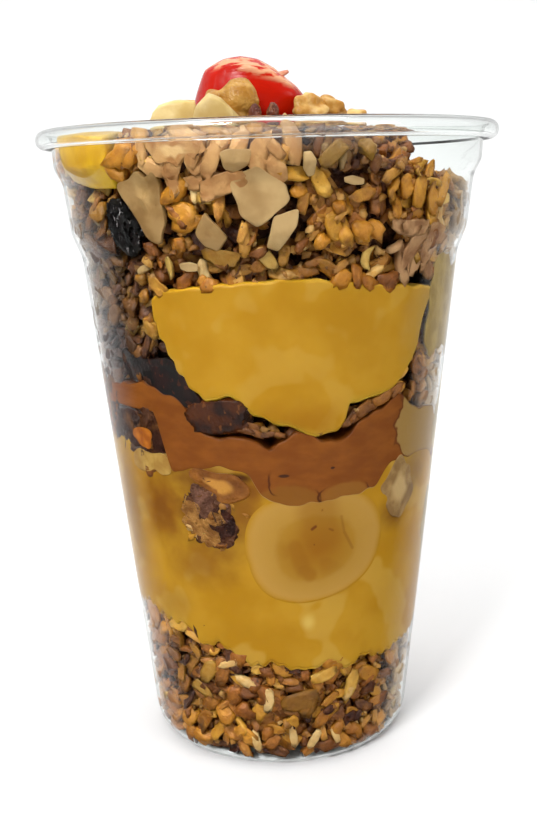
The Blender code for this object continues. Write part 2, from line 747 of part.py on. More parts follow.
def build_caramel():
    """Caramel spread between the custard below and the thin granola layer, with a hollow at the left."""
    low = interface(LOWER_CUSTARD_TOP, LOWER_CUSTARD_TOP_MIDDLE, FOOD_GAP)
    top = interface(CARAMEL_TOP, CARAMEL_TOP_MIDDLE)
    azimuth = (FOOD_AZIMUTHS + 180.0) % 360.0 - 180.0
    into_hollow = np.minimum(azimuth - HOLLOW_FROM, HOLLOW_TO - azimuth) / HOLLOW_BLEND
    roof = HOLLOW_ROOF - low(FOOD_AZIMUTHS, BEYOND_WALL)
    lift = np.maximum(roof, 0.0) * smoothstep(into_hollow)
    caramel = layer("caramel_layer", low, top, low_edge_lift=lift)
    dress(caramel, CARAMEL)
    return caramel


def build_upper_custard():
    """Custard below the mound: it touches the wall in front and behind only."""
    low = interface(UPPER_CUSTARD_LOW, UPPER_CUSTARD_LOW_MIDDLE)
    top = interface(UPPER_CUSTARD_TOP, UPPER_CUSTARD_TOP_MIDDLE)
    retreat = CUSTARD_RETREAT * (1.0 - contact(FOOD_AZIMUTHS))
    custard = layer("custard_upper", low, top, retreat=retreat)
    dress(custard, CUSTARD)
    return custard


def banana_slice(name, azimuth, height, width, tall, phase):
    """Banana slice standing against the wall: a short three-sided oval with rounded edges."""
    work = bmesh.new()
    bmesh.ops.create_cone(work, cap_ends=True, segments=14, radius1=0.5, radius2=0.5, depth=1.0)
    for vertex in work.verts:
        spoke = 1.0 + 0.05 * math.sin(3.0 * math.atan2(vertex.co.y, vertex.co.x) + phase)
        vertex.co.x *= spoke
        vertex.co.y *= spoke
    work.transform(Matrix.Diagonal((width * MM, tall * MM, BANANA_DEPTH, 1.0)))
    work.transform(Matrix.Rotation(math.radians(90.0), 4, "X"))
    mesh = bpy.data.meshes.new(name)
    work.to_mesh(mesh)
    work.free()
    obj = add_object(name, mesh, bpy.data.collections[PARFAIT])
    stand_at_wall(obj, azimuth, height, BANANA_SUNK, spin=-12.0)
    bevel = obj.modifiers.new("round", "BEVEL")
    bevel.width = 1.2 * MM
    bevel.segments = 1
    bake(obj)
    trim_to_cup(obj)
    dress(obj, BANANA)
    return obj


def wall_chips():
    """Chips and flakes at the wall: corners in mm, thickness, finish, place at the wall."""
    return {
        "oat_flake": (oval(12.6, 6.6, 10, 0.2), 1.0, GRANOLA, (-18.6, 65.0, 1.3, WALL_LEAN, 8.0)),
        "pale_chip_left": (((-6, -1.6), (0, -2.4), (5.6, -1.8), (6, 2.2), (0, 2.4), (-5, 0.6)),
                           1.4, COCONUT, (-46.0, 68.0, 1.4)),
        "coconut_flake_right": (((-3.6, 1.2), (0.4, 5.8), (4.6, 3), (6.6, -1.2), (3.6, -5.6),
                                 (-1.6, -4.4)), 1.3, COCONUT, (45.6, 61.2, 1.5)),
        "nut_shard_left": (((-5, 4.3), (-3, -0.4), (0.9, -6.4), (4.2, -6), (4.4, 5.2), (2.4, 6.6),
                            (0.4, 5.7)), 1.6, NUT, (-34.0, 119.6, 1.5)),
        "nut_shard_middle": (((-5.4, 3), (-3.8, -2.8), (-0.6, -5.4), (5, -0.4), (4.6, 2.2), (-1, 5.4)),
                             1.6, NUT, (-1.8, 121.0, 1.5)),
        "nut_stick": (((-1.6, 2.3), (-3, -3.2), (-0.8, -4.2), (2.4, 0.2), (2.8, 3.4)),
                      1.8, NUT, (3.4, 115.4, 1.7)),
        "nut_shard_small": (((-3, 0), (-0.8, 3.8), (0.8, 2), (3.2, -0.8), (1.2, -3.2), (-1.2, -2.4)),
                            1.4, NUT, (-14.8, 114.8, 1.3)),
        "coconut_flake_peach": (((-5, 1.6), (-1, 2.2), (5, 0.8), (3.8, -2), (-0.4, -2.8), (-3.4, -1.6)),
                                1.2, COCONUT, (-21.8, 129.6, 1.6, 8.0)),
        "coconut_flake_rim": (((-3.6, 1.6), (3.8, 2), (4, -0.8), (2.2, -1.8), (-3.2, -1.6)),
                              1.2, COCONUT, (-11.2, 131.4, 3.4, 8.0)),
        "almond_chip_a": (((-2.8, 1.6), (-1, 2.4), (2.6, 2), (2.2, -0.4), (-1, -2), (-2.6, -1)),
                          1.2, NUT, (-7.0, 127.4, 1.3, 20.0)),
        "almond_chip_b": (oval(2.6, 4.4, 7), 1.2, NUT, (9.6, 126.8, 2.0, 20.0, -10.0)),
        "almond_chip_c": (oval(4.2, 1.7, 6), 1.2, NUT, (21.0, 123.6, 1.2, WALL_LEAN, 10.0)),
        "almond_chip_d": (oval(4.0, 1.8, 6), 1.2, NUT, (-22.2, 108.6, 1.4, 20.0)),
        "nut_shard_back": (((-5.2, 2.6), (-3, -3.8), (1, -5.4), (4.6, -1), (4.2, 3.6), (-1, 5.2)),
                           1.6, NUT, (150.0, 117.6, 1.5)),
        "nut_shard_side": (((-4.2, 3.2), (-3.4, -3.4), (0.6, -4.8), (3.8, -0.6), (2.8, 4.2)),
                           1.6, NUT, (-104.0, 121.0, 1.5, WALL_LEAN, 20.0)),
    }


def wall_lumps():
    """Rounded pieces at the wall: size in mm, finish, seed, shape, place at the wall."""
    return {
        "granola_cluster": ((14.0, 8.0, 16.0), GRANOLA, 3, dict(unevenness=0.16), (-23.0, 58.6, 5.6)),
        "mango_crumb": ((5.6, 2.6, 4.2), MANGO, 5, dict(unevenness=0.12, fineness=1), (-47.0, 73.2, 1.7)),
        "date_piece": ((15.0, 5.6, 7.0), BROWN_FRUIT, 7, {}, (-18.0, 80.2, 3.9, WALL_LEAN, -6.0)),
        "raisin_left": ((8.6, 5.4, 11.0), RAISIN, 8, {}, (-42.8, 115.6, 3.2, WALL_LEAN, -18.0)),
        "raisin_back": ((8.0, 5.0, 9.6), RAISIN, 11, {}, (-148.0, 114.0, 3.0, WALL_LEAN, 15.0)),
        "mango_chunk": ((21.0, 11.0, 11.4), MANGO, 9, dict(unevenness=0.03, squareness=0.75),
                        (-53.0, 129.0, 2.8, 14.0, 4.0)),
    }


def build_wall_pieces():
    """Chips, flakes and fruit that show through the wall, as a dictionary by name."""
    made = {
        "banana_slice": banana_slice("banana_slice", 14.5, 49.6, 31.0, 23.5, 1.0),
        "banana_slice_back": banana_slice("banana_slice_back", 168.0, 45.0, 30.0, 24.0, 2.0),
    }
    for name, (corners, thickness, finish, place) in wall_chips().items():
        made[name] = stand_at_wall(flat_piece(name, corners, thickness, finish), *place)
        trim_to_cup(bake(made[name]))
        dress(made[name], finish)
    for name, (size, finish, seed, shape, place) in wall_lumps().items():
        made[name] = stand_at_wall(lump(name, size, finish, seed, **shape), *place)
        trim_to_cup(bake(made[name]))
        dress(made[name], finish)
    return made


def build_toppings():
    """Fruit and nuts that rest on the mound."""
    block = dict(unevenness=0.03, fineness=1, squareness=0.75)
    cube = dict(unevenness=0.04, fineness=2, squareness=0.6)
    nut = dict(unevenness=0.1, fineness=1)
    berry = dict(unevenness=0.015, fineness=3, fall=0.42)
    lumps = {
        "strawberry_half": ((24.0, 18.0, 16.0), BERRY, 21, berry, (-3.4, -3.0)),
        "banana_wedge": ((8.8, 4.8, 7.2), BANANA, 22, block, (-9.8, -22.4, (0.0, 16.0, 8.0))),
        "pale_fruit_chunk": ((9.6, 6.4, 6.2), BANANA, 23, block, (-18.4, -14.4, (0.0, -6.0, 20.0))),
        "nut_right_a": ((6.2, 5.4, 6.6), NUT, 25, nut, (8.6, -14.6, (0.0, 20.0, 0.0))),
        "nut_right_b": ((6.2, 5.2, 6.4), NUT, 26, nut, (13.8, -11.4, (0.0, -15.0, 30.0))),
        "raisin_top_a": ((3.0, 3.4, 4.6), BROWN_FRUIT, 27, nut, (-2.2, -22.6)),
        "raisin_top_b": ((3.0, 3.2, 4.4), BROWN_FRUIT, 28, nut, (1.2, -22.4)),
        "nut_crumb_low": ((7.6, 5.0, 4.0), NUT, 29, nut, (17.6, -5.2, (0.0, 8.0, 10.0))),
        "mango_piece_back": ((11.0, 8.0, 7.6), MANGO, 31, cube, (-16.0, 12.0, (0.0, 8.0, 30.0))),
    }
    toppings = [
        lay(lump(name, size, finish, seed, **shape), *place)
        for name, (size, finish, seed, shape, place) in lumps.items()
    ]
    flake = flat_piece("almond_flake_back", oval(9.0, 6.0, 10, 0.2), 1.3, NUT)
    toppings.append(lay(flake, 4.0, 13.6, (70.0, 10.0, 40.0)))
    toppings.append(lay(curved_nut("cashew_piece", 10.6, 7.4, 1.8, NUT), -6.9, -16.1, (6.0, -22.0, 0.0)))
    return toppings


def build_granola_base(custard, cup):
    """Granola on the cup's floor: core with grains fused on, under the lower custard."""
    high = interface(BASE_TOP, BASE_TOP_MIDDLE, -CORE_GAP)
    floor = PANEL_RISE + WALL + CUP_GAP
    heel_reach = inner_radius(HEEL_RISE) - CORE_DEPTH
    rings = [level_ring(0.6 * heel_reach, floor), level_ring(0.94 * heel_reach, floor)]
    rings += core_side(HEEL_RISE, high(FOOD_AZIMUTHS, wall_reach(high) - CORE_DEPTH), (0.0, 0.96))
    rings += face_rings(high)[::-1]
    core = loft("granola_base", rings, floor, high(0.0, 0.0), FOOD_AZIMUTHS)
    top = outline(BASE_TOP)
    rng = np.random.default_rng(41)
    placed = grains_on_wall(rng, lambda azimuth: WALL, lambda azimuth: float(top(azimuth)) - MM,
                            *WALL_GRAINS_BASE)
    fuse(core, placed, Neighbours([custard, cup]))
    dress(core, GRANOLA, 20.0)
    return core


def build_granola_middle(neighbours, cup):
    """Thin granola layer between the caramel and the upper custard, set back from the wall."""
    low = interface(CARAMEL_TOP, CARAMEL_TOP_MIDDLE, CORE_GAP)
    high = interface(UPPER_CUSTARD_LOW, UPPER_CUSTARD_LOW_MIDDLE, -CORE_GAP)
    rings = face_rings(low) + face_rings(high)[::-1]
    for ring in rings:
        ring[:, 1] = np.minimum(ring[:, 1], SIDE_GRANOLA_LOW - 2.0 * CORE_GAP)
    core = loft("granola_middle", rings, low(0.0, 0.0), high(0.0, 0.0), FOOD_AZIMUTHS)
    make_room(core, *neighbours[2:])
    caramel_top = outline(CARAMEL_TOP)
    custard_low = outline(UPPER_CUSTARD_LOW)
    rng = np.random.default_rng(42)
    placed = grains_on_wall(rng, lambda azimuth: float(caramel_top(azimuth)),
                            lambda azimuth: min(float(custard_low(azimuth)), SIDE_GRANOLA_LOW),
                            *WALL_GRAINS_MIDDLE)
    fuse(core, placed, Neighbours([*neighbours, cup]))
    dress(core, GRANOLA, 20.0)
    return core


def build_granola_top(neighbours, cup):
    """Mound of granola on the upper custard; at the sides it runs down between custard and wall."""
    low = interface(UPPER_CUSTARD_TOP, UPPER_CUSTARD_TOP_MIDDLE, CORE_GAP)
    clear = contact(FOOD_AZIMUTHS) == 0.0
    down = (clear & np.roll(clear, 1) & np.roll(clear, -1))[:, None]
    reach = wall_reach(low)
    beside = reach - CUSTARD_RETREAT + CORE_GAP
    side_low = np.full(len(FOOD_AZIMUTHS), SIDE_GRANOLA_LOW)
    over_edge = np.stack([beside, low(FOOD_AZIMUTHS, beside)], -1)
    down_side = np.stack([beside + CORE_GAP, side_low + EDGE], -1)
    across = face_rings(low, TOP_SHARES)
    rings = [across[0], across[1], np.where(down, over_edge, across[2]), np.where(down, down_side, across[3])]
    bottom = np.where(down[:, 0], side_low, low(FOOD_AZIMUTHS, reach) + CORE_GAP)
    top = mound(FOOD_AZIMUTHS, inner_radius(CUP_HEIGHT) - CORE_DEPTH)
    rings += core_side(bottom, top, (0.0, 0.5, 0.95))
    for radius in MOUND_RADII:
        rings.append(np.stack([np.full(len(FOOD_AZIMUTHS), radius), mound(FOOD_AZIMUTHS, radius)], -1))
    core = loft("granola_top", rings, low(0.0, 0.0), float(mound(0.0, 0.0)), FOOD_AZIMUTHS)
    make_room(core, *neighbours[1:])

    custard_top = outline(UPPER_CUSTARD_TOP)
    rim = outline(GRANOLA_RIM)

    def from_low(azimuth):
        touching = float(contact(azimuth))
        return touching * float(custard_top(azimuth)) + (1.0 - touching) * SIDE_GRANOLA_LOW

    rng = np.random.default_rng(43)
    placed = grains_on_wall(rng, from_low, lambda azimuth: float(rim(azimuth)) - MM, *WALL_GRAINS_TOP)
    placed += grains_on_mound(rng, MOUND_GRAINS, MOUND_REACH)
    fuse(core, placed, Neighbours([*neighbours, cup]))
    dress(core, GRANOLA, 20.0)
    return core


def main():
    for obj in list(bpy.data.objects):
        bpy.data.objects.remove(obj, do_unlink=True)
    for name in (PARFAIT, "cutters"):
        bpy.context.scene.collection.children.link(bpy.data.collections.new(name))

    cup = build_cup()
    pieces = build_wall_pieces()
    custard_lower = build_lower_custard()
    caramel = build_caramel()
    custard_upper = build_upper_custard()
    toppings = build_toppings()

    at_both = ("pale_chip_left", "oat_flake", "granola_cluster", "coconut_flake_right")
    in_lower = [pieces[name] for name in ("banana_slice", "banana_slice_back", *at_both)]
    in_caramel = [pieces[name] for name in ("mango_crumb", "date_piece", *at_both)]
    make_room(pieces["granola_cluster"], pieces["oat_flake"])
    make_room(custard_lower, *in_lower)
    make_room(caramel, *in_caramel)
    make_room(custard_upper, pieces["date_piece"])
    named = set(in_lower + in_caramel)
    in_top = [piece for piece in pieces.values() if piece not in named]

    build_granola_base(custard_lower, cup)
    build_granola_middle([caramel, custard_upper, pieces["date_piece"]], cup)
    build_granola_top([custard_upper, *in_top, *toppings], cup)


main()
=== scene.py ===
"""Looks of a granola parfait in a clear plastic cup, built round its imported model.

The file is laid out as an add-on: settings, one operator for each group of pieces, a panel and a main
function. Lengths are metres, +Z is up, the front faces -Y, and an azimuth is measured from -Y towards
+X in degrees. Each surface is worked out on a grid with numpy.
"""

import math

import bpy
import numpy as np
from bpy.props import FloatProperty, FloatVectorProperty, PointerProperty
from bpy.types import Operator, Panel, PropertyGroup
from mathutils import Matrix, Vector
from mathutils.bvhtree import BVHTree


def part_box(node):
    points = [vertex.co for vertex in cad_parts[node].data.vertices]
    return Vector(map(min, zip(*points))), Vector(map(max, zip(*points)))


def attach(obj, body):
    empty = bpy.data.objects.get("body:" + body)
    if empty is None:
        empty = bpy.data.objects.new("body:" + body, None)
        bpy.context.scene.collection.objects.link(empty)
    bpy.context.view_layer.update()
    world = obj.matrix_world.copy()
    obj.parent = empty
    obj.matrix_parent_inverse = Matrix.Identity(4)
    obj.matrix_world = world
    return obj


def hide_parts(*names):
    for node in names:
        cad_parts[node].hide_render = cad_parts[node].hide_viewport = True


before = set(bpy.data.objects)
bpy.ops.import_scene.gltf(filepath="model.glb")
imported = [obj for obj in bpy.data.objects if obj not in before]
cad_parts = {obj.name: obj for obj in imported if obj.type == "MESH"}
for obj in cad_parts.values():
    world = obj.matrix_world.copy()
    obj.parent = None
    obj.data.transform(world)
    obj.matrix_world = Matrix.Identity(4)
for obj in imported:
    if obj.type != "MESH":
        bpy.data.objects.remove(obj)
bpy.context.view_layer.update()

bl_info = {
    "name": "Granola parfait",
    "version": (1, 0, 0),
    "blender": (4, 5, 0),
    "location": "View3D > Sidebar > Parfait",
    "description": "Builds the cup, the food layers and the toppings of a granola parfait",
    "category": "Object",
}

MM = 0.001
BODY = "root"

# Cup: outer surface and wall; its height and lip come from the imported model
CUP_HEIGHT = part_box("cup")[1].z
LIP_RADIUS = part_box("cup")[1].x
WALL = 0.6 * MM
SIDE = (
    (0.0, 29.04 * MM), (CUP_HEIGHT - 26.45 * MM, 40.71 * MM), (CUP_HEIGHT - 21.3 * MM, 42.74 * MM),
    (CUP_HEIGHT - 10.95 * MM, 43.93 * MM), (CUP_HEIGHT - 7.7 * MM, 45.59 * MM),
    (CUP_HEIGHT - 3.9 * MM, 45.8 * MM),
)
WALL_HEIGHTS = np.array([height for height, radius in SIDE])
WALL_RADII = np.array([radius for height, radius in SIDE])
HEEL_RISE = 4.9 * MM
HEEL_RUN = 3.1 * MM
PANEL_RISE = 1.6 * MM
PANEL_RADIUS = 21.5 * MM
RING_RADIUS = 23.4 * MM
LIP_WIDTH = 3.5 * MM
LIP_DROP = 3.8 * MM
CORNER = 0.9 * MM
CUP_AROUND = 256
LIP_POINTS_OUTSIDE, LIP_POINTS_INSIDE, HEEL_POINTS, CORNER_POINTS = 21, 15, 9, 5

# Sheen of the lip: how far below the top it starts, and how far it takes to set in
LIP_START = 4.4 * MM
LIP_BLEND = 0.8 * MM

# Mean radius of the wall in mm, which turns degrees into widths
WALL_MIDDLE = 35.0

# Heights in mm at the wall, at a few azimuths in degrees
BASE_TOP = (
    (-165, 27), (-120, 30), (-85, 33), (-57, 33.5), (-40, 31.5), (-22, 28), (-6, 25), (15, 24),
    (50, 23.5), (75, 25), (105, 29), (140, 26),
)
LOWER_CUSTARD_TOP = (
    (-165, 64), (-130, 68), (-100, 70), (-75, 72), (-57, 71), (-48, 66), (-36, 67.5), (-16, 69.5),
    (-9, 68), (-4, 63.5), (4, 61.3), (20, 62), (33, 63), (42, 68), (60, 68), (80, 63), (110, 66),
    (145, 60),
)
CARAMEL_TOP = (
    (-165, 79), (-130, 82), (-95, 85), (-70, 83), (-51, 84.9), (-36, 83.8), (-28, 81.5), (-22, 76.4),
    (-16, 74.3), (5, 74.8), (17, 74.3), (22, 74.9), (27, 76.7), (32, 78.5), (38, 80.1), (43, 80.7),
    (54, 78), (75, 74), (105, 78), (140, 73),
)
UPPER_CUSTARD_LOW = (
    (-165, 85), (-145, 90), (-131, 99), (-121, 91), (-60, 90), (-46, 92), (-36.6, 101.8), (-35.9, 98),
    (-34.6, 96.9), (-34.3, 94.2), (-32.6, 93.4), (-31.8, 91), (-30, 90), (-29.2, 87.8), (-27, 86.9),
    (-25.9, 84.8), (-23, 83.6), (-20.6, 81.9), (-17.8, 82.3), (-13.6, 83.3), (-9, 81.8), (-6.4, 79.6),
    (-3.6, 79), (0.4, 77.4), (4, 77.3), (8, 76.2), (12.6, 74.6), (16, 75.2), (19, 75.4), (22, 77.4),
    (23.6, 80.9), (30, 81.3), (37, 82.4), (42, 84.2), (46, 87), (49, 90), (50.4, 95.2), (54, 100),
    (62, 91), (115, 91), (130, 99), (140, 90), (155, 83),
)
UPPER_CUSTARD_TOP = (
    (-165, 104), (-130, 102), (-95, 101), (-60, 102), (-38, 101.6), (-34, 103.2), (-29, 104.1),
    (-11, 105.3), (5, 106), (32, 104.2), (55, 102.6), (90, 101), (130, 103), (165, 106),
)
GRANOLA_RIM = (
    (-165, 127), (-130, 129), (-95, 131), (-66, 133), (-40, 134), (-15, 134), (10, 133.4), (24, 131.4),
    (33, 127.6), (45, 126.6), (60, 124.5), (80, 120.5), (105, 120.5), (135, 123), (160, 126),
)

# Heights in mm of the same faces in the middle of the cup
BASE_MIDDLE, LOWER_MIDDLE, CARAMEL_MIDDLE = 27.0, 66.0, 76.0
UPPER_LOW_MIDDLE, UPPER_TOP_MIDDLE = 80.5, 105.0

# Upper custard: where it touches the wall, in degrees, how far it stands back elsewhere, and how low
# the granola reaches there
CUSTARD_CONTACTS = ((-35.4, 54.0), (132.0, 228.0))
CONTACT_BLEND = 4.0
CUSTARD_RETREAT = 6.0 * MM
SIDE_GRANOLA_LOW = 92.5 * MM

# Hollow under the caramel at the left: its ends and how they blend, in degrees, and its roof
HOLLOW_FROM, HOLLOW_TO = -66.0, -35.0
HOLLOW_ROOF = 79.0 * MM
HOLLOW_BLEND = 6.0

# Mound of granola over the rim: its top, its fall towards its edge, the edge and its half width, and
# how far out loose pieces lie
MOUND_TOP = 134.2 * MM
MOUND_FALL = 1.0 * MM
MOUND_EDGE = 30.5 * MM
MOUND_EDGE_WIDTH = 2.6 * MM
MOUND_REACH = 41.0 * MM

# Grids of the layers: azimuths, shares of the reach on their faces, turns on their rounded edges,
# rows on their sides, and a radius that is beyond the wall everywhere
LAYER_COLUMNS = 600
LAYER_AZIMUTHS = np.arange(LAYER_COLUMNS) * 360.0 / LAYER_COLUMNS
FACE_SHARES = np.array([0.2, 0.4, 0.55, 0.66, 0.76, 0.84, 0.9, 0.94])[:, None]
EDGE_TURNS = np.radians(np.array([8.0, 30.0, 50.0, 68.0, 82.0]))[:, None]
SIDE_ROWS = 90
BEYOND_WALL = 50.0 * MM

# Cores of the granola: columns, shares of the reach on their faces, and shares of their height
CORE_COLUMNS = 240
CORE_SHARES = np.linspace(0.1, 0.97, 12)[:, None]
CORE_RISE = np.linspace(0.03, 0.97, 24)[:, None]

# Grids of the separate pieces, half a slice's thickness in mm, and the first seed of each group
CHIP_COLUMNS = 96
CHIP_SMOOTHING = 9
LUMP_ROWS, LUMP_COLUMNS = 40, 64
BANANA_COLUMNS = 240
BANANA_HALF = 5.4
RAGGED_SEED, CHIP_SEED, GLARE_SHEET_SEED = 40, 70, 150
LUMP_SEED, CLUSTER_LUMP_SEED, TOPPING_SEED = 81, 160, 91

# Faces between layers: flat within a share of the radius, and rising over the next one
FLAT_SHARE, RISING_SHARE = 0.45, 0.5

# Waves on the layers' edges: how many kinds, their counts round the cup, and where they set in
WAVE_KINDS = 12
FEWEST_WAVES, MOST_WAVES = 14, 80
WAVES_FROM, WAVES_BLEND = 22.0 * MM, 8.0 * MM
RIPPLE_WAVES = 14

# Chance in the heaps: a share of the pitch, depth and lift in mm, shares of the mean length, and the
# spread and range of the tones
GRAIN_SEED = 5
JITTER = 0.45
DEPTH_JITTER, LIFT_JITTER = 0.4, 0.5
SHORTEST, LONGEST = 0.7, 1.45
TONE_SPREAD = 0.2
DARKEST, PALEST = 0.02, 0.98

# Radius that turns a heap's pitch into degrees, and the depth over which pieces at the wall blend
HEAP_RADIUS = 36.0 * MM
NEAR_WALL = 2.0 * MM

# Painted glare of the plastic, which pales the granola at the cup's right edge: azimuths in degrees,
# and how strong it is
HAZE_FROM, HAZE_TO, HAZE_BLEND = 52.0, 90.0, 12.0
HAZE = 0.75

# Torn lower edge of the caramel, in degrees, and the height of the clump of oats
LOBED_FROM, LOBED_TO = -9.0, 36.0
LOBED_BLEND = 3.0
CLUSTER_MIDDLE = 58.6 * MM

# How far food presses into the cup's wall, so that no air shows between them
PRESSED = 0.1 * MM
GRAIN_PRESSED = 0.15 * MM
CARAMEL_PRESSED = 0.2 * MM
LUMP_PRESSED = 0.13 * MM
PIECE_PRESSED = 0.3 * MM

# Patches of painted shade, where the granola lies in shadow: azimuth, height in mm, half width in
# degrees, half height in mm, and how much darker
PAINTED_SHADE_PATCHES = (
    (-62, 100, 26, 24, 0.8), (45, 111, 12, 5, 0.15), (22, 129.5, 17, 5, 0.6), (-2, 109.0, 30, 3.0, 0.4),
    (-43, 20, 18, 10, 0.4), (-56, 76.5, 15, 9, 0.95), (0, 78, 60, 5, 0.35), (-36, 88.5, 11, 6, 0.95),
    (-56, 92, 13, 8, 1.0), (8, 16, 9, 5, 0.5), (56, 10, 6, 6, 0.4),
)


# Numbers and outlines

def smoothstep(x):
    """0 below 0, 1 above 1, and 3x^2 - 2x^3 between."""
    x = np.clip(x, 0.0, 1.0)
    return x * x * (3.0 - 2.0 * x)


def linear(red, green, blue):
    """Linear colour from 8-bit display values: the power 2.2 of each share."""
    return tuple((value / 255.0) ** 2.2 for value in (red, green, blue))


def folded(azimuth):
    """The same azimuth between -180 and 180 degrees."""
    return (azimuth + 180.0) % 360.0 - 180.0


def level(height):
    """One height at every azimuth."""
    return lambda azimuth: height + 0.0 * azimuth


def raised(height_at, amount):
    """A height at any azimuth, raised by mm."""
    return lambda azimuth: height_at(azimuth) + amount * MM


def stepped(spans, elsewhere):
    """A height within each span, which has a start and an end in degrees, and another elsewhere."""

    def height_at(azimuth):
        height = np.full(np.shape(azimuth), elsewhere)
        for start, end, inside in spans:
            height = np.where((azimuth - start) % 360.0 < end - start, inside, height)
        return height

    return height_at


def at_contact(touching, apart):
    """One height where the upper custard touches the wall, another where granola lies between."""
    return lambda azimuth: np.where(contact(azimuth) > 0.5, touching(azimuth), apart(azimuth))


def outline(points):
    """Height in metres at any azimuth: a monotone cubic through the points, closed round the cup."""
    azimuth, height = np.array(sorted(points), float).T
    azimuth = np.concatenate([azimuth[-2:] - 360.0, azimuth, azimuth[:2] + 360.0])
    height = np.concatenate([height[-2:], height, height[:2]]) * MM
    run = np.diff(azimuth)
    slope = np.diff(height) / run
    product = slope[:-1] * slope[1:]
    total = slope[:-1] + slope[1:]
    tangent = np.zeros_like(height)
    rising = product > 0.0
    tangent[1:-1][rising] = 2.0 * product[rising] / total[rising]

    def height_at(angle):
        angle = folded(np.asarray(angle, float))
        k = np.clip(np.searchsorted(azimuth, angle, side="right") - 1, 0, len(run) - 1)
        t = (angle - azimuth[k]) / run[k]
        start = (1.0 + 2.0 * t) * (1.0 - t) ** 2 * height[k] + t * (1.0 - t) ** 2 * run[k] * tangent[k]
        end = t * t * (3.0 - 2.0 * t) * height[k + 1] + t * t * (t - 1.0) * run[k] * tangent[k + 1]
        return start + end

    return height_at


def interface(points, middle, shift=0.0):
    """Height of a face between layers: flat in the middle, and following the outline near the wall."""
    at_wall = outline(points)

    def height_at(azimuth, radius):
        edge = at_wall(azimuth)
        share = radius / inner_radius(edge)
        return shift + middle * MM + (edge - middle * MM) * smoothstep((share - FLAT_SHARE) / RISING_SHARE)

    return height_at


def wavy(height_at, amount, seed):
    """The same face with uneven waves near the wall: sines of 14 to 80 whole waves round the cup,
    each lower the more waves it has."""
    rng = np.random.default_rng(seed)
    counts = rng.integers(FEWEST_WAVES, MOST_WAVES, WAVE_KINDS)[:, None]
    phases = rng.uniform(0.0, 2.0 * math.pi, WAVE_KINDS)[:, None]

    def wavy_height_at(azimuth, radius):
        turn = np.radians(np.asarray(azimuth, float)).reshape(-1)
        waves = np.sin(counts * turn + phases) * FEWEST_WAVES / counts
        wave = waves.sum(axis=0).reshape(np.shape(azimuth))
        return height_at(azimuth, radius) + amount * wave * smoothstep((radius - WAVES_FROM) / WAVES_BLEND)

    return wavy_height_at


def ripple(points, size, seed):
    """Smooth noise of about -1 to 1: a mean of sine waves of one length in random directions."""
    rng = np.random.default_rng(seed)
    waves = rng.normal(size=(RIPPLE_WAVES, 3))
    waves *= 2.0 * math.pi / size / np.linalg.norm(waves, axis=1, keepdims=True)
    phases = rng.uniform(0.0, 2.0 * math.pi, len(waves))
    return np.sin(points @ waves.T + phases).sum(axis=-1) / math.sqrt(len(waves) / 2.0)


def rough(points, size, seed, octaves=3):
    """Noise with finer waves on it: each octave is half as long and half as high as the last."""
    return sum(ripple(points, size / 2 ** k, seed + k) / 2 ** k for k in range(octaves))


def side_radius(z):
    """Outer radius of the cup's side, without its rounded heel."""
    return np.interp(z, WALL_HEIGHTS, WALL_RADII)


def inner_radius(z):
    """Inner radius of the cup; an ellipse rounds the heel."""
    depth = np.clip((HEEL_RISE - z) / (HEEL_RISE - WALL), 0.0, 1.0)
    return side_radius(z) - WALL - (HEEL_RUN - WALL) * (1.0 - np.sqrt(1.0 - depth ** 2))


def around(azimuth, radius, z):
    """Points from azimuths in degrees, radii and heights."""
    angle = np.radians(azimuth)
    return np.stack(np.broadcast_arrays(radius * np.sin(angle), -radius * np.cos(angle), z), axis=-1)


def azimuth_of(places):
    """Azimuths of places in degrees: the angle with the sine x and the cosine -y."""
    return np.degrees(np.arctan2(places[:, 0], -places[:, 1]))


def past_wall(places):
    """How far places are beyond the cup's inner wall, less than 0 inside it."""
    return np.hypot(places[:, 0], places[:, 1]) - inner_radius(places[:, 2])


# Meshes

def make_mesh(name, vertices, quads, triangles, values):
    """Mesh from arrays of vertices, four-cornered and three-cornered faces, and values by vertex."""
    corners = np.concatenate([quads.ravel(), triangles.ravel()]).astype(np.int32)
    starts = np.concatenate([np.arange(len(quads)) * 4, len(quads) * 4 + np.arange(len(triangles)) * 3])
    mesh = bpy.data.meshes.new(name)
    mesh.vertices.add(len(vertices))
    mesh.vertices.foreach_set("co", np.ascontiguousarray(vertices, np.float32).ravel())
    mesh.loops.add(len(corners))
    mesh.loops.foreach_set("vertex_index", corners)
    mesh.polygons.add(len(starts))
    mesh.polygons.foreach_set("loop_start", starts.astype(np.int32))
    mesh.update(calc_edges=True)
    for title, value in values.items():
        layer = mesh.attributes.new(title, "FLOAT", "POINT")
        layer.data.foreach_set("value", np.ascontiguousarray(value, np.float32).ravel())
    mesh.shade_smooth()
    return mesh


def tube_faces(rows, columns):
    """Faces of a closed skin of rings: quads between rings, and fans to a first and a last point."""
    i = np.arange(columns)
    j = (i + 1) % columns
    row = np.arange(rows - 1)[:, None] * columns
    quads = np.stack([row + i, row + j, row + columns + j, row + columns + i], axis=-1).reshape(-1, 4)
    low, high = rows * columns, rows * columns + 1
    last = (rows - 1) * columns
    fan_low = np.stack([np.full(columns, low), j, i], axis=-1)
    fan_high = np.stack([last + i, last + j, np.full(columns, high)], axis=-1)
    return quads, np.concatenate([fan_low, fan_high])


def with_ends(grid, low, high):
    """Vertices of a grid of rings (rows, columns, 3), and the two points that close its ends."""
    return np.concatenate([grid.reshape(-1, 3), [low, high]])


def skin(name, rows, vertices, values=None):
    """Closed skin over rings of vertices, whose last two vertices close its ends. Values are for the
    rings, and each end takes the mean of its ring."""
    quads, triangles = tube_faces(rows, (len(vertices) - 2) // rows)
    ends = {title: np.concatenate([value.ravel(), [value[0].mean(), value[-1].mean()]])
            for title, value in (values or {}).items()}
    return make_mesh(name, vertices, quads, triangles, ends)


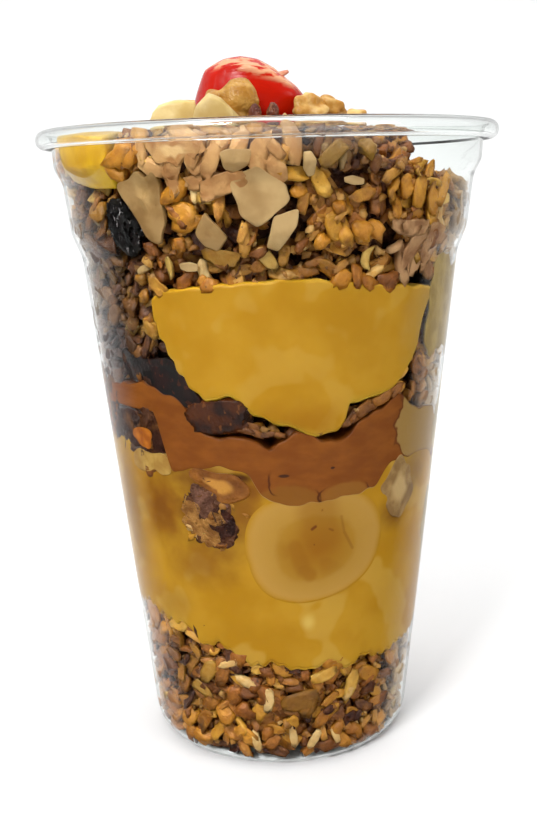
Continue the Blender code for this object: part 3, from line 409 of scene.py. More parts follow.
def place_piece(name, mesh, finish, slot, nodes=()):
    """New piece of the parfait: it rides on the body and stands for its nodes."""
    obj = bpy.data.objects.new(name, mesh)
    bpy.context.scene.collection.objects.link(obj)
    mesh.materials.append(finish)
    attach(obj, BODY)
    if nodes:
        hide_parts(*nodes)


def show(name, rows, vertices, look, nodes=None, values=None):
    """Closed skin as a piece with a look, which is a finish and a slot. It stands for its own node,
    or for others."""
    mesh = skin(name + "_shown", rows, vertices, values)
    place_piece(name + "_shown", mesh, *look, [name] if nodes is None else nodes)


# Shader expressions

class Socket:
    """A shader socket in an expression: each operator adds its Math node."""

    def __init__(self, finish, link):
        self.finish = finish
        self.link = link

    def __add__(self, other):
        return self.finish.math("ADD", self, other)

    __radd__ = __add__

    def __sub__(self, other):
        return self.finish.math("SUBTRACT", self, other)

    def __rsub__(self, other):
        return self.finish.math("SUBTRACT", other, self)

    def __mul__(self, other):
        return self.finish.math("MULTIPLY", self, other)

    __rmul__ = __mul__

    def __truediv__(self, other):
        return self.finish.math("DIVIDE", self, other)

    def __pow__(self, other):
        return self.finish.math("POWER", self, other)


def rgba(colour):
    """A link as it is, or a colour with an alpha of 1."""
    return colour if isinstance(colour, Socket) else (*colour, 1.0)


class Finish:
    """A material, or the world, while its nodes are being made."""

    def __init__(self, name, library="materials"):
        self.owner = getattr(bpy.data, library).new(name)
        self.owner.use_nodes = True
        self.tree = self.owner.node_tree
        self.tree.nodes.clear()

    def node(self, kind, settings=None, sockets=None):
        """Any node: its settings first, then the values or links of its sockets."""
        made = self.tree.nodes.new(kind)
        for name, value in (settings or {}).items():
            if name == "stops":
                ramp = made.color_ramp.elements
                while len(ramp) < len(value):
                    ramp.new(1.0)
                for stop, (position, colour) in zip(ramp, value):
                    stop.position = position
                    stop.color = (*colour, 1.0)
            else:
                setattr(made, name, value)
        for name, value in (sockets or {}).items():
            if isinstance(value, Socket):
                self.tree.links.new(value.link, made.inputs[name])
            else:
                made.inputs[name].default_value = value
        return made

    def out(self, made, name=0):
        return Socket(self, made.outputs[name])

    def link(self, kind, settings=None, sockets=None, name=0):
        """A link from an output of a new node."""
        return self.out(self.node(kind, settings, sockets), name)

    def math(self, operation, first, second):
        return self.link("ShaderNodeMath", {"operation": operation}, {0: first, 1: second})

    def span(self, value, low, high):
        """0 at the low value, 1 at the high one, smooth between and clamped."""
        sockets = {"Value": value, "From Min": low, "From Max": high}
        return self.link("ShaderNodeMapRange", {"interpolation_type": "SMOOTHSTEP"}, sockets)

    def place(self):
        return self.link("ShaderNodeTexCoord", name="Object")

    def along(self, vector, axis):
        """One coordinate of a vector."""
        return self.link("ShaderNodeSeparateXYZ", {}, {"Vector": vector}, name=axis)

    def value(self, name):
        """A value that the mesh carries by vertex."""
        return self.link("ShaderNodeAttribute", {"attribute_name": name}, name="Fac")

    def noise(self, size, detail=2.0, scale=None):
        """Noise of 0 to 1, about as coarse as a size in metres, and stretched by a scale."""
        vector = self.place()
        if scale:
            vector = self.link("ShaderNodeMapping", {}, {"Vector": vector, "Scale": scale})
        sockets = {"Vector": vector, "Scale": 1.0 / size, "Detail": detail}
        return self.link("ShaderNodeTexNoise", {}, sockets, name="Fac")

    def specks(self, spacing, radius, share):
        """1 on small round specks of a radius: cells of a spacing, of which only a share have one."""
        sockets = {"Vector": self.place(), "Scale": 1.0 / spacing, "Randomness": 1.0}
        cells = self.node("ShaderNodeTexVoronoi", {}, sockets)
        near = self.span(self.out(cells, "Distance"), radius / spacing, 0.4 * radius / spacing)
        pick = self.link("ShaderNodeSeparateColor", {}, {"Color": self.out(cells, "Color")}, name="Red")
        return near * self.span(pick, 1.0 - share, 1.0 - share + 0.01)

    def patch(self, azimuth, height, width, tall, uneven=0.25):
        """An oval on the wall: 1 in its middle, 0 on its uneven outline, less beyond. Sizes in mm."""
        across = (self.value("around") - math.radians(azimuth)) * (WALL_MIDDLE / width * 2.0)
        up = (self.along(self.place(), "Z") - height * MM) * (2.0 / (tall * MM))
        return 1.0 - (across * across + up * up) ** 0.5 + (self.noise(3.5 * MM) - 0.5) * uneven

    def ramp(self, value, stops):
        return self.link("ShaderNodeValToRGB", {"stops": stops}, {"Fac": value}, name="Color")

    def mix(self, factor, first, second):
        """Colour between two colours, by a factor."""
        sockets = {0: factor, 6: rgba(first), 7: rgba(second)}
        return self.link("ShaderNodeMix", {"data_type": "RGBA"}, sockets, name=2)

    def bump(self, height, depth, strength):
        """Normal of a relief whose highest points stand a depth above its lowest."""
        sockets = {"Height": height, "Distance": depth, "Strength": strength}
        return self.link("ShaderNodeBump", {}, sockets)

    def finished(self, shader):
        """The material, with a shader node as its surface."""
        self.node("ShaderNodeOutputMaterial", {}, {"Surface": self.out(shader)})
        return self.owner

    def surface(self, colour, roughness, normal=None, **constants):
        """Principled surface: the colour, roughness and normal may be links, the rest are numbers."""
        sockets = {"Base Color": rgba(colour), "Roughness": roughness}
        if normal:
            sockets["Normal"] = normal
        for name, value in constants.items():
            sockets[name.replace("_", " ").title().replace("Ior", "IOR")] = value
        return self.finished(self.node("ShaderNodeBsdfPrincipled", {}, sockets))


# Finishes

def clear_finish(settings):
    """Clear plastic that lets light through to what it holds."""
    made = Finish("clear_cup")
    ior = settings.cup_ior
    bent = {"Color": rgba(settings.cup_tint), "Roughness": 0.0, "IOR": ior}
    through = made.link("ShaderNodeBsdfRefraction", {}, bent)
    mirrored = {"Color": rgba((1.0, 1.0, 1.0)), "Roughness": 0.02}
    mirror = made.link("ShaderNodeBsdfGlossy", {}, mirrored)
    fresnel = made.link("ShaderNodeFresnel", {}, {"IOR": ior})
    shine = made.math("MAXIMUM", fresnel - 0.06, 0.0) * 0.8 + made.value("lip") * 0.04
    glass = made.link("ShaderNodeMixShader", {}, {0: shine, 1: through, 2: mirror})
    open_way = made.link("ShaderNodeBsdfTransparent", {}, {"Color": rgba((0.97, 0.97, 0.97))})
    shadow = made.link("ShaderNodeLightPath", name="Is Shadow Ray")
    return made.finished(made.node("ShaderNodeMixShader", {}, {0: shadow, 1: glass, 2: open_way}))


def custard_finish(name, settings, film, patches):
    """Set custard: slow changes of tone, tiny specks, patches of stain and of painted shade and light, and a
    film at its edge.
    """
    made = Finish(name)
    tone = made.span(made.noise(13 * MM, 3.0), 0.35, 0.68)
    colour = made.mix(tone, settings.custard_deep, settings.custard_light)
    colour = made.mix(made.span(made.noise(4 * MM), 0.55, 0.75) * 0.3, colour, settings.custard_deep)
    colour = made.mix(made.value("pale"), colour, settings.custard_pale)
    for place, patch_tone, share in patches:
        # Patches from the tables: real stains, painted shade, painted glare and a painted highlight
        colour = made.mix(made.span(made.patch(*place, 0.6), -0.3, 0.9) * share, colour, linear(*patch_tone))
    colour = made.mix(made.value("film"), colour, linear(*film))
    colour = made.mix(made.specks(9 * MM, 0.26 * MM, 0.3), colour, (0.06, 0.02, 0.006))
    normal = made.bump(made.noise(2.5 * MM), 0.1 * MM, 0.3)
    return made.surface(colour, 0.4, normal, specular_ior_level=0.12, subsurface_weight=0.08,
                        subsurface_scale=0.003, subsurface_radius=(1.0, 0.6, 0.2))


# Lobes of thinner film on the caramel: place and size, tone, and the azimuth where each ends
CARAMEL_LOBES = (
    ((3.6, 62.2, 13.6, 6.4), linear(132, 84, 29), 30.0),
    ((23.3, 62.4, 12.0, 5.4), linear(138, 90, 34), 50.0),
    ((6.4, 66.2, 11.4, 9.0), None, 1.0),
)
CARAMEL_HOLES = ((2.6, 67.2, 2.8, 0.9), (18.3, 68.2, 1.2, 0.7))


def caramel_finish(settings):
    """Caramel spread: satin brown with faint smears, dark thin edges of painted shade, lobes of thinner film
    along its lower side with painted shade under them, and a thin see-through tongue at the right that the
    custard shows through."""
    made = Finish("caramel")
    smear = made.noise(6 * MM, 4.0, (1.0, 1.0, 2.2))
    colour = made.mix(made.span(smear, 0.35, 0.7), settings.caramel_deep, settings.caramel_light)
    # Dark brown: painted shade along the caramel's edges and under its lobes; it also outlines the thin
    # tongue
    dark = linear(78, 40, 14)
    thin = made.patch(60.0, 76.0, 22.0, 26.0, 0.5)
    colour = made.mix(made.span(thin, 0.0, 0.06), colour, linear(154, 122, 68))
    colour = made.mix(made.span(thin, -0.05, 0.0) * made.span(thin, 0.05, 0.0) * 0.7, colour, dark)
    up = made.along(made.place(), "Z")
    for place, tone, end in CARAMEL_LOBES:
        inside = made.patch(*place, 0.4)
        below = made.span(up, (place[1] + 2.2) * MM, (place[1] + 0.4) * MM)
        left = made.span(made.value("around"), math.radians(end), math.radians(end - 3.0))
        colour = made.mix(made.span(inside, 0.0, 0.25) * left, colour, tone or settings.caramel_light)
        # A dark line along each lobe's lower edge: painted shade under it
        line = made.span(inside, -0.03, 0.02) * made.span(inside, 0.1, 0.04) * below * left
        colour = made.mix(line, colour, dark)
    # Near-black spots: painted shade in small holes
    for place in CARAMEL_HOLES:
        colour = made.mix(made.span(made.patch(*place), 0.0, 0.5), colour, (0.05, 0.016, 0.005))
    # Painted shade along the caramel's top and lower edges
    colour = made.mix(made.value("rim"), colour, dark)
    colour = made.mix(made.value("cream"), colour, linear(204, 164, 96))
    return made.surface(colour, 0.42, made.bump(smear, 0.35 * MM, 0.4), specular_ior_level=0.15)


# Tones of the loose pieces, from the darkest to the palest
GRAINS = {
    "oats": ((58, 26, 12), (148, 90, 26), (190, 136, 42), (214, 174, 90)),
    "clusters": ((58, 26, 12), (134, 78, 24), (180, 120, 34), (206, 156, 62)),
    "slivers": ((58, 26, 12), (152, 92, 32), (196, 142, 62), (214, 182, 124)),
    "crumbs": ((50, 26, 12), (124, 76, 30), (172, 122, 56), (206, 168, 108)),
}


def granola_finish(name):
    """Toasted grain: a tone for each piece, browner at its tips, with flecks and a fine grain; painted shade
    darkens it, and painted glare pales it at the cup's right edge.
    """
    made = Finish(name)
    tones = [linear(*tone) for tone in GRAINS[name]]
    tone = made.value("tint") + (made.noise(1.6 * MM, 3.0) - 0.5) * 0.45
    colour = made.ramp(tone, list(zip((0.0, 0.34, 0.68, 1.0), tones)))
    toasted = made.value("tip") * made.span(made.noise(2.4 * MM), 0.35, 0.7)
    colour = made.mix(toasted * 0.7, colour, tones[0])
    colour = made.mix(made.specks(2.4 * MM, 0.3 * MM, 0.3) * 0.6, colour, tones[0])
    # Painted shade: the pieces darken towards a dark brown where they lie in shadow
    colour = made.mix(made.value("shade"), colour, linear(52, 28, 15))
    # Painted glare: a pale beige veil for the haze of the plastic at the cup's right edge
    colour = made.mix(made.value("veil"), colour, linear(150, 122, 74))
    normal = made.bump(made.noise(0.7 * MM, 3.0), 0.3 * MM, 0.8)
    return made.surface(colour, 0.5, normal, specular_ior_level=0.35)


def granola_finishes():
    """A finish for each kind of loose piece."""
    return {kind: granola_finish(kind) for kind in GRAINS}


def core_finish(settings):
    """Shadowed granola behind the loose pieces: purple-brown hollows and brown crumbs."""
    made = Finish("granola_core")
    stops = [(0.3, settings.shadow), (0.52, linear(62, 36, 22)), (0.75, linear(110, 70, 32))]
    colour = made.ramp(made.noise(3.2 * MM, 4.0), stops)
    normal = made.bump(made.noise(1.2 * MM, 3.0), 0.8 * MM, 1.0)
    return made.surface(colour, 0.8, normal, specular_ior_level=0.2)


def flesh_finish(name, light, deep, size, roughness, depth, rim=None, glints=None):
    """Cut fruit, nut or dried fruit: two tones, a slow relief, a soft sheen, and perhaps a rim of
    another tone or small glints painted on its wrinkles as highlights. Tones are 8-bit values, and sizes mm."""
    made = Finish(name)
    size = size * MM
    tone = made.span(made.noise(size, 3.0), 0.35, 0.68)
    colour = made.mix(tone, linear(*deep), linear(*light))
    if rim:
        colour = made.mix(made.span(made.value("share"), 0.3, 0.1), colour, linear(*rim))
    # Painted highlights: small bright glints in the colour
    if glints:
        bright = made.span(made.noise(1.1 * MM, 2.0, (1.0, 1.0, 0.6)), 0.6, 0.68)
        colour = made.mix(bright, colour, linear(*glints))
    normal = made.bump(made.noise(size / 4, 3.0), depth * MM, 0.6)
    return made.surface(colour, roughness, normal, specular_ior_level=0.25)


def flesh_looks(table):
    """The looks of a table by name: a finish and its slot."""
    return {name: (flesh_finish(name, *look), slot) for name, (slot, *look) in table.items()}


def banana_finish(settings):
    """Banana slice: pale ring, warmer middle with soft lobes, dark seeds, a browned arc and spot."""
    made = Finish("banana_slice")
    share = made.value("share") + (made.noise(5 * MM, 2.0) - 0.5) * 0.14
    stops = [(0.0, linear(150, 100, 26)), (0.3, linear(158, 112, 34)), (0.52, linear(164, 122, 44)),
             (0.6, linear(172, 132, 58)), (0.9, linear(180, 140, 68)), (1.0, linear(172, 130, 50))]
    colour = made.ramp(share, stops)
    colour = made.mix(made.value("lobe") * 0.6, colour, linear(140, 90, 22))
    colour = made.mix(made.value("veil"), colour, settings.custard_deep)
    colour = made.mix(made.value("seed"), colour, linear(104, 54, 22))
    normal = made.bump(made.noise(1.6 * MM, 3.0), 0.1 * MM, 0.4)
    return made.surface(colour, 0.45, normal, specular_ior_level=0.12)


def berry_finish():
    """Wet red fruit: saturated orange-red, with thin creamy marks along its ridge and far slope, partly its
    own wrinkles and partly painted wet highlights.
    """
    made = Finish("berry_red")
    wave = made.noise(2.2 * MM, 3.0, (0.5, 1.0, 1.4))
    # Thin creases and pale patches along the ridge: partly the fruit's own wrinkles, partly painted wet
    # highlights
    crease_glint = made.span(made.math("ABSOLUTE", wave - 0.5, 0.0), 0.06, 0.02) * made.value("pale")
    patch = made.span(wave, 0.44, 0.56) * made.value("pale")
    colour = made.mix(made.noise(6 * MM, 2.0), linear(198, 36, 8), linear(172, 18, 5))
    colour = made.mix(crease_glint * 0.6, colour, linear(206, 92, 60))
    colour = made.mix(patch * 0.85, colour, linear(222, 170, 128))
    normal = made.bump(wave * made.value("pale") + made.noise(3 * MM, 1.0) * 0.3, 0.8 * MM, 0.8)
    return made.surface(colour, 0.24, normal, specular_ior_level=0.16)


# Cup

def rounded(profile, reach):
    """Profile with each corner replaced by an arc that starts a reach away from it."""
    before = np.roll(profile, 1, axis=0)[1:-1]
    here = profile[1:-1]
    after = np.roll(profile, -1, axis=0)[1:-1]
    back = before - here
    forth = after - here
    back_length = np.linalg.norm(back, axis=1, keepdims=True)
    forth_length = np.linalg.norm(forth, axis=1, keepdims=True)
    start = here + back / back_length * np.minimum(reach, back_length * 0.45)
    end = here + forth / forth_length * np.minimum(reach, forth_length * 0.45)
    t = np.linspace(0.0, 1.0, CORNER_POINTS)[None, :, None]
    arcs = start[:, None] * (1.0 - t) ** 2 + 2.0 * here[:, None] * t * (1.0 - t) + end[:, None] * t ** 2
    return np.concatenate([profile[:1], arcs.reshape(-1, 2), profile[-1:]])


def heel_profile(inset):
    """(r, z) points down the heel's quarter ellipse, at a distance inside the outer surface."""
    arc = np.radians(np.linspace(0.0, 90.0, HEEL_POINTS))
    z = inset + (HEEL_RISE - inset) * (1.0 - np.sin(arc))
    r = side_radius(z) - inset - (HEEL_RUN - inset) * (1.0 - np.cos(arc))
    return np.stack([r, z], axis=-1)


def lip_profile(inset, points):
    """(r, z) points over the lip: an oval from its inner side over the top to its underside."""
    angles = np.radians(np.linspace(180.0, -90.0, points))
    r = LIP_RADIUS - LIP_WIDTH / 2 + (LIP_WIDTH / 2 - inset) * np.cos(angles)
    z = CUP_HEIGHT - LIP_DROP / 2 + (LIP_DROP / 2 - inset) * np.sin(angles)
    return np.stack([r, z], axis=-1)


def cup_mesh():
    """The cup's closed profile with rounded corners, turned round the axis."""
    side = np.stack([WALL_RADII, WALL_HEIGHTS], axis=-1)[1:]
    floor = np.array([(0.0, PANEL_RISE), (PANEL_RADIUS, PANEL_RISE), (RING_RADIUS, 0.0)])
    up_inside = np.concatenate([floor + (0.0, WALL), heel_profile(WALL)[::-1], side - (WALL, 0.0)])
    down_outside = np.concatenate([side[::-1], heel_profile(0.0), floor[::-1]])
    lip = [lip_profile(0.0, LIP_POINTS_OUTSIDE), lip_profile(WALL, LIP_POINTS_INSIDE)[::-1]]
    profile = np.concatenate([rounded(up_inside, CORNER), *lip, rounded(down_outside, CORNER)])[::-1]
    azimuth = np.arange(CUP_AROUND) * 360.0 / CUP_AROUND
    rings = profile[1:-1]
    grid = around(azimuth, rings[:, :1], rings[:, 1:])
    vertices = with_ends(grid, (0.0, 0.0, profile[0, 1]), (0.0, 0.0, profile[-1, 1]))
    sheen = smoothstep((grid[..., 2] - CUP_HEIGHT + LIP_START) / LIP_BLEND)
    return skin("cup_clear", len(rings), vertices, {"lip": sheen})


# Food layers

def contact(azimuth):
    """1 where the upper custard touches the wall, 0 where granola lies between."""
    touch = np.zeros_like(np.asarray(azimuth, float))
    for start, end in CUSTARD_CONTACTS:
        past_end = np.abs(folded(azimuth - (start + end) / 2)) - (end - start) / 2
        touch = np.maximum(touch, smoothstep(1.0 - past_end / CONTACT_BLEND))
    return touch


def layer_grid(low, high, pressed, edge, retreat=0.0, lift=0.0):
    """Rings of a layer: over its lower face, its rounded edges and its side, and back over its top.

    On an edge the radius falls short of the wall by edge * (1 - cos t) while the height turns by
    edge * (1 - sin t), with t from 0 to a right angle.
    """

    def side(z):
        return inner_radius(z) + pressed - retreat

    azimuth = LAYER_AZIMUTHS
    reach_low, reach_high = side(low(azimuth, BEYOND_WALL)), side(high(azimuth, BEYOND_WALL))
    foot = low(azimuth, reach_low) + lift
    head = high(azimuth, reach_high)
    room = np.minimum(edge, (head - foot) * 0.45)
    short = room * (1.0 - np.cos(EDGE_TURNS))
    turned_in = room * (1.0 - np.sin(EDGE_TURNS))
    rising = lift * smoothstep((FACE_SHARES - 0.6) / 0.3)
    z_side = foot + room + (head - foot - 2.0 * room) * np.linspace(0.0, 1.0, SIDE_ROWS)[:, None]
    inwards = FACE_SHARES[::-1]
    rings = (
        (reach_low * FACE_SHARES, low(azimuth + 0.0 * FACE_SHARES, reach_low * FACE_SHARES) + rising),
        (side(foot + turned_in) - short, foot + turned_in),
        (side(z_side), z_side),
        (side(head - turned_in) - short, head - turned_in),
        (reach_high * inwards, high(azimuth + 0.0 * inwards, reach_high * inwards)),
    )
    radius, z = (np.concatenate(part) for part in zip(*rings))
    return azimuth, radius, z


def layer_mesh(name, azimuth, radius, z, values):
    """Closed skin over a layer's rings; its ends are the middles of its two faces."""
    vertices = with_ends(around(azimuth, radius, z), (0.0, 0.0, z[0].mean()), (0.0, 0.0, z[-1].mean()))
    return skin(name, len(z), vertices, {"around": np.radians(folded(azimuth)) + 0.0 * z, **values})


def custard(node, low, high, edge, film, pale, finish, retreat=0.0):
    """A custard with a film up from its lower edge and pale patches. The film has a share, a height
    and an unevenness in mm, the size of its waves in mm and their seed; the patches have a share,
    the noise that they start at, a size in mm and a seed."""
    azimuth, radius, z = layer_grid(low, high, PRESSED, edge, retreat)
    points = around(azimuth, radius, z)
    share, height, uneven, size, seed = film
    wave = rough(points, size * MM, seed)
    above_low = z - low(azimuth, BEYOND_WALL)
    filmed = share * smoothstep(1.0 - above_low / np.maximum(height * MM + uneven * MM * wave, 0.3 * MM))
    share, start, size, seed = pale
    patched = share * smoothstep((rough(points, size * MM, seed) - start) / 0.8)
    mesh = layer_mesh(node + "_shown", azimuth, radius, z, {"film": filmed, "pale": patched})
    place_piece(node + "_shown", mesh, finish, "custard", [node])


# Patches on the custards: azimuth, height, width and height in mm; tone; share. Some are real stains
# and film; the dark ones around the clump, under the caramel's edge, below the grey flake and at the
# left edge are painted shade, the pale one low at the front is a painted highlight, and the pale one
# high at the right is painted glare of the plastic
LOWER_STAINS_SHADE_AND_HIGHLIGHT = (
    ((-42.5, 58.5, 13.0, 19.0), (126, 78, 24), 1.0), ((-24.0, 66.0, 24.0, 8.0), (104, 60, 24), 0.8),
    ((-21.0, 57.5, 19.0, 22.0), (108, 62, 24), 0.8), ((45.0, 55.6, 11.0, 8.0), (104, 60, 24), 0.75),
    ((-9.0, 64.0, 9.0, 6.0), (120, 70, 24), 0.85), ((-12.5, 66.8, 9.5, 2.4), (64, 30, 12), 1.0),
    ((10.7, 34.6, 3.6, 4.0), (208, 176, 92), 0.8), ((54.0, 64.0, 14.0, 14.0), (140, 104, 52), 0.8),
    ((-29.0, 47.0, 20.0, 12.0), (134, 86, 24), 0.7), ((-42.0, 37.0, 12.0, 10.0), (150, 106, 40), 0.5),
    ((-10.0, 59.5, 9.0, 13.0), (128, 80, 26), 0.7), ((-62.0, 57.0, 12.0, 30.0), (116, 82, 38), 0.5),
)
UPPER_STAINS_AND_GLARE = (
    ((52.0, 96.0, 14.0, 24.0), (176, 146, 84), 0.6), ((8.0, 78.5, 20.0, 9.0), (158, 108, 18), 0.8),
)


def build_lower_custard(settings):
    """Custard on the base; near its top the caramel lies over it as a thin film with a wavy edge."""
    low = wavy(interface(BASE_TOP, BASE_MIDDLE, -0.4 * MM), 0.55 * MM, 13)
    high = interface(LOWER_CUSTARD_TOP, LOWER_MIDDLE, 1.0 * MM)
    finish = custard_finish("custard_lower", settings, (140, 92, 36), LOWER_STAINS_SHADE_AND_HIGHLIGHT)
    custard("custard_lower", low, high, 0.9 * MM, (0.4, 1.4, 0.7, 9, 11), (0.5, 0.5, 16, 12), finish)


def build_upper_custard(settings):
    """Custard under the mound: it spreads on the wall in front and behind, with a rolled, wavy edge."""
    low = wavy(interface(UPPER_CUSTARD_LOW, UPPER_LOW_MIDDLE), 0.1 * MM, 23)
    high = wavy(interface(UPPER_CUSTARD_TOP, UPPER_TOP_MIDDLE), 0.12 * MM, 24)
    retreat = CUSTARD_RETREAT * (1.0 - contact(LAYER_AZIMUTHS))
    finish = custard_finish("custard_upper", settings, (176, 150, 52), UPPER_STAINS_AND_GLARE)
    custard("custard_upper", low, high, 0.8 * MM, (0.5, 1.2, 0.5, 7, 21), (0.3, 0.4, 14, 22), finish,
            retreat)


def build_caramel(settings):
    """Caramel spread with torn edges and the hollow at its left."""
    low = wavy(interface(LOWER_CUSTARD_TOP, LOWER_MIDDLE, -0.8 * MM), 0.25 * MM, 33)
    high = wavy(interface(CARAMEL_TOP, CARAMEL_MIDDLE), 0.4 * MM, 34)
    place = folded(LAYER_AZIMUTHS)
    into_hollow = np.minimum(place - HOLLOW_FROM, HOLLOW_TO - place) / HOLLOW_BLEND
    lift = np.maximum(HOLLOW_ROOF - low(LAYER_AZIMUTHS, BEYOND_WALL), 0.0) * smoothstep(into_hollow)
    azimuth, radius, z = layer_grid(low, high, CARAMEL_PRESSED, 0.5 * MM, lift=lift)
    below_top = high(azimuth, BEYOND_WALL) - z
    above_low = z - low(azimuth, BEYOND_WALL) - lift
    # Rim: painted shade in the creases along the caramel's top and lower edges
    rim = 0.8 * smoothstep(1.0 - np.minimum(below_top, above_low) / (0.55 * MM))
    lobed = smoothstep((place - LOBED_FROM) / LOBED_BLEND) * smoothstep((LOBED_TO - place) / LOBED_BLEND)
    cream = 0.7 * lobed * smoothstep(1.0 - np.abs(above_low - 0.25 * MM) / (0.3 * MM))
    mesh = layer_mesh("caramel_shown", azimuth, radius, z, {"rim": rim, "cream": cream})
    place_piece("caramel_shown", mesh, caramel_finish(settings), "caramel", ["caramel_layer"])


# Loose pieces

def ball(rows, columns):
    """Directions over a unit ball: rings from the lowest to the highest, and the two ends."""
    tilt = np.radians(np.linspace(-90.0, 90.0, rows + 2)[1:-1])[:, None]
    turn = np.arange(columns) * 2.0 * math.pi / columns
    x, y = np.cos(tilt) * np.cos(turn), np.cos(tilt) * np.sin(turn)
    ring = np.stack(np.broadcast_arrays(x, y, np.sin(tilt)), axis=-1)
    return with_ends(ring, (0.0, 0.0, -1.0), (0.0, 0.0, 1.0))


def blunt(unit, power):
    """Directions with fuller ends: each coordinate keeps its sign and takes a power below 1."""
    return np.sign(unit) * np.abs(unit) ** power


def oat(unit, k):
    """Rolled oat: a flat oval, 1 long, curled up at the sides, with a crease along the middle."""
    bulge = 1.0 + 0.16 * ripple(unit, 1.5, GRAIN_SEED + k)[:, None]
    shape = unit * bulge * (0.5, 0.24, 0.11)
    bend = 0.9 + 0.5 * math.sin(GRAIN_SEED + 2.4 * k)
    shape[:, 2] += bend * (0.5 * shape[:, 0] ** 2 + 1.8 * shape[:, 1] ** 2)
    shape[:, 1] += 0.5 * math.sin(1.7 * k) * shape[:, 0] ** 2
    return shape


def cluster(unit, k):
    """Cluster: an uneven lump, 1 long, with knobs and hollows."""
    seed = GRAIN_SEED + 7 * k
    knobs = 1.0 + 0.22 * ripple(unit, 1.5, seed) + 0.06 * ripple(unit, 0.8, seed + 3)
    return unit * knobs[:, None] * (0.5, 0.34, 0.28)


def sliver(unit, k):
    """Broken grain: a long, blunt, four-sided bar with a slight bend, 1 long."""
    shape = unit * (1.0 + 0.12 * ripple(unit, 1.4, GRAIN_SEED + k)[:, None]) * (0.5, 0.18, 0.14)
    shape[:, 2] += 0.6 * math.sin(2.1 * k) * shape[:, 0] ** 2
    return shape


def crumb(unit, k):
    """Crumb: a small uneven grain, 1 long."""
    return unit * (0.5 + 0.16 * ripple(unit, 1.3, GRAIN_SEED + k)[:, None]) * (1.0, 0.75, 0.65)


# Kinds of loose pieces: form, rings and points on each, bluntness, and how many shapes there are
KINDS = {
    "oats": (oat, (4, 10), 0.7, 12),
    "clusters": (cluster, (6, 10), 0.9, 14),
    "slivers": (sliver, (4, 8), 0.62, 12),
    "crumbs": (crumb, (3, 6), 1.0, 10),
}


def turned(axis, angle):
    """Rotation matrices about unit axes: the identity, plus sin times the cross matrix, plus
    (1 - cos) times its square."""
    x, y, z = axis.T
    zero = np.zeros_like(x)
    cross = np.stack([zero, -z, y, z, zero, -x, -y, x, zero], axis=-1).reshape(-1, 3, 3)
    s, c = np.sin(angle)[:, None, None], np.cos(angle)[:, None, None]
    return np.eye(3) + s * cross + (1.0 - c) * cross @ cross


def wall_frames(azimuth):
    """Frames at the wall: columns along it, up it and out of it."""
    angle = np.radians(azimuth)
    zero, one = np.zeros_like(angle), np.ones_like(angle)
    along = np.stack([np.cos(angle), np.sin(angle), zero], axis=-1)
    upwards = np.stack([zero, zero, one], axis=-1)
    outwards = np.stack([np.sin(angle), -np.cos(angle), zero], axis=-1)
    return np.stack([along, upwards, outwards], axis=-1)


def spun_and_tilted(rng, count, tilt):
    """Random turns: any spin in the plane, and a tilt out of it of up to an angle in radians."""
    spin = turned(np.tile((0.0, 0.0, 1.0), (count, 1)), rng.uniform(0.0, 2.0 * math.pi, count))
    lean = rng.uniform(0.0, 2.0 * math.pi, count)
    axis = np.stack([np.cos(lean), np.sin(lean), np.zeros(count)], axis=-1)
    return turned(axis, rng.normal(0.0, 0.5, count) * tilt) @ spin


def painted_glare(places):
    """How much painted glare of the plastic pales a loose piece behind the cup's right edge."""
    azimuth = azimuth_of(places)
    near_wall = smoothstep(past_wall(places) / NEAR_WALL + 2.6)
    in_haze = smoothstep((azimuth - HAZE_FROM) / HAZE_BLEND) * smoothstep((HAZE_TO - azimuth) / HAZE_BLEND)
    return HAZE * near_wall * in_haze


def painted_shade(places):
    """How much painted shade darkens a loose piece: the most that any shade patch gives at its place."""
    azimuth = azimuth_of(places)
    most = np.zeros(len(places))
    for middle, height, wide, tall, share in PAINTED_SHADE_PATCHES:
        away = np.hypot((azimuth - middle) / wide, (places[:, 2] / MM - height) / tall)
        most = np.maximum(most, share * smoothstep(1.6 - 1.2 * away))
    return most * (0.3 + 0.7 * smoothstep(past_wall(places) / NEAR_WALL + 4.0))


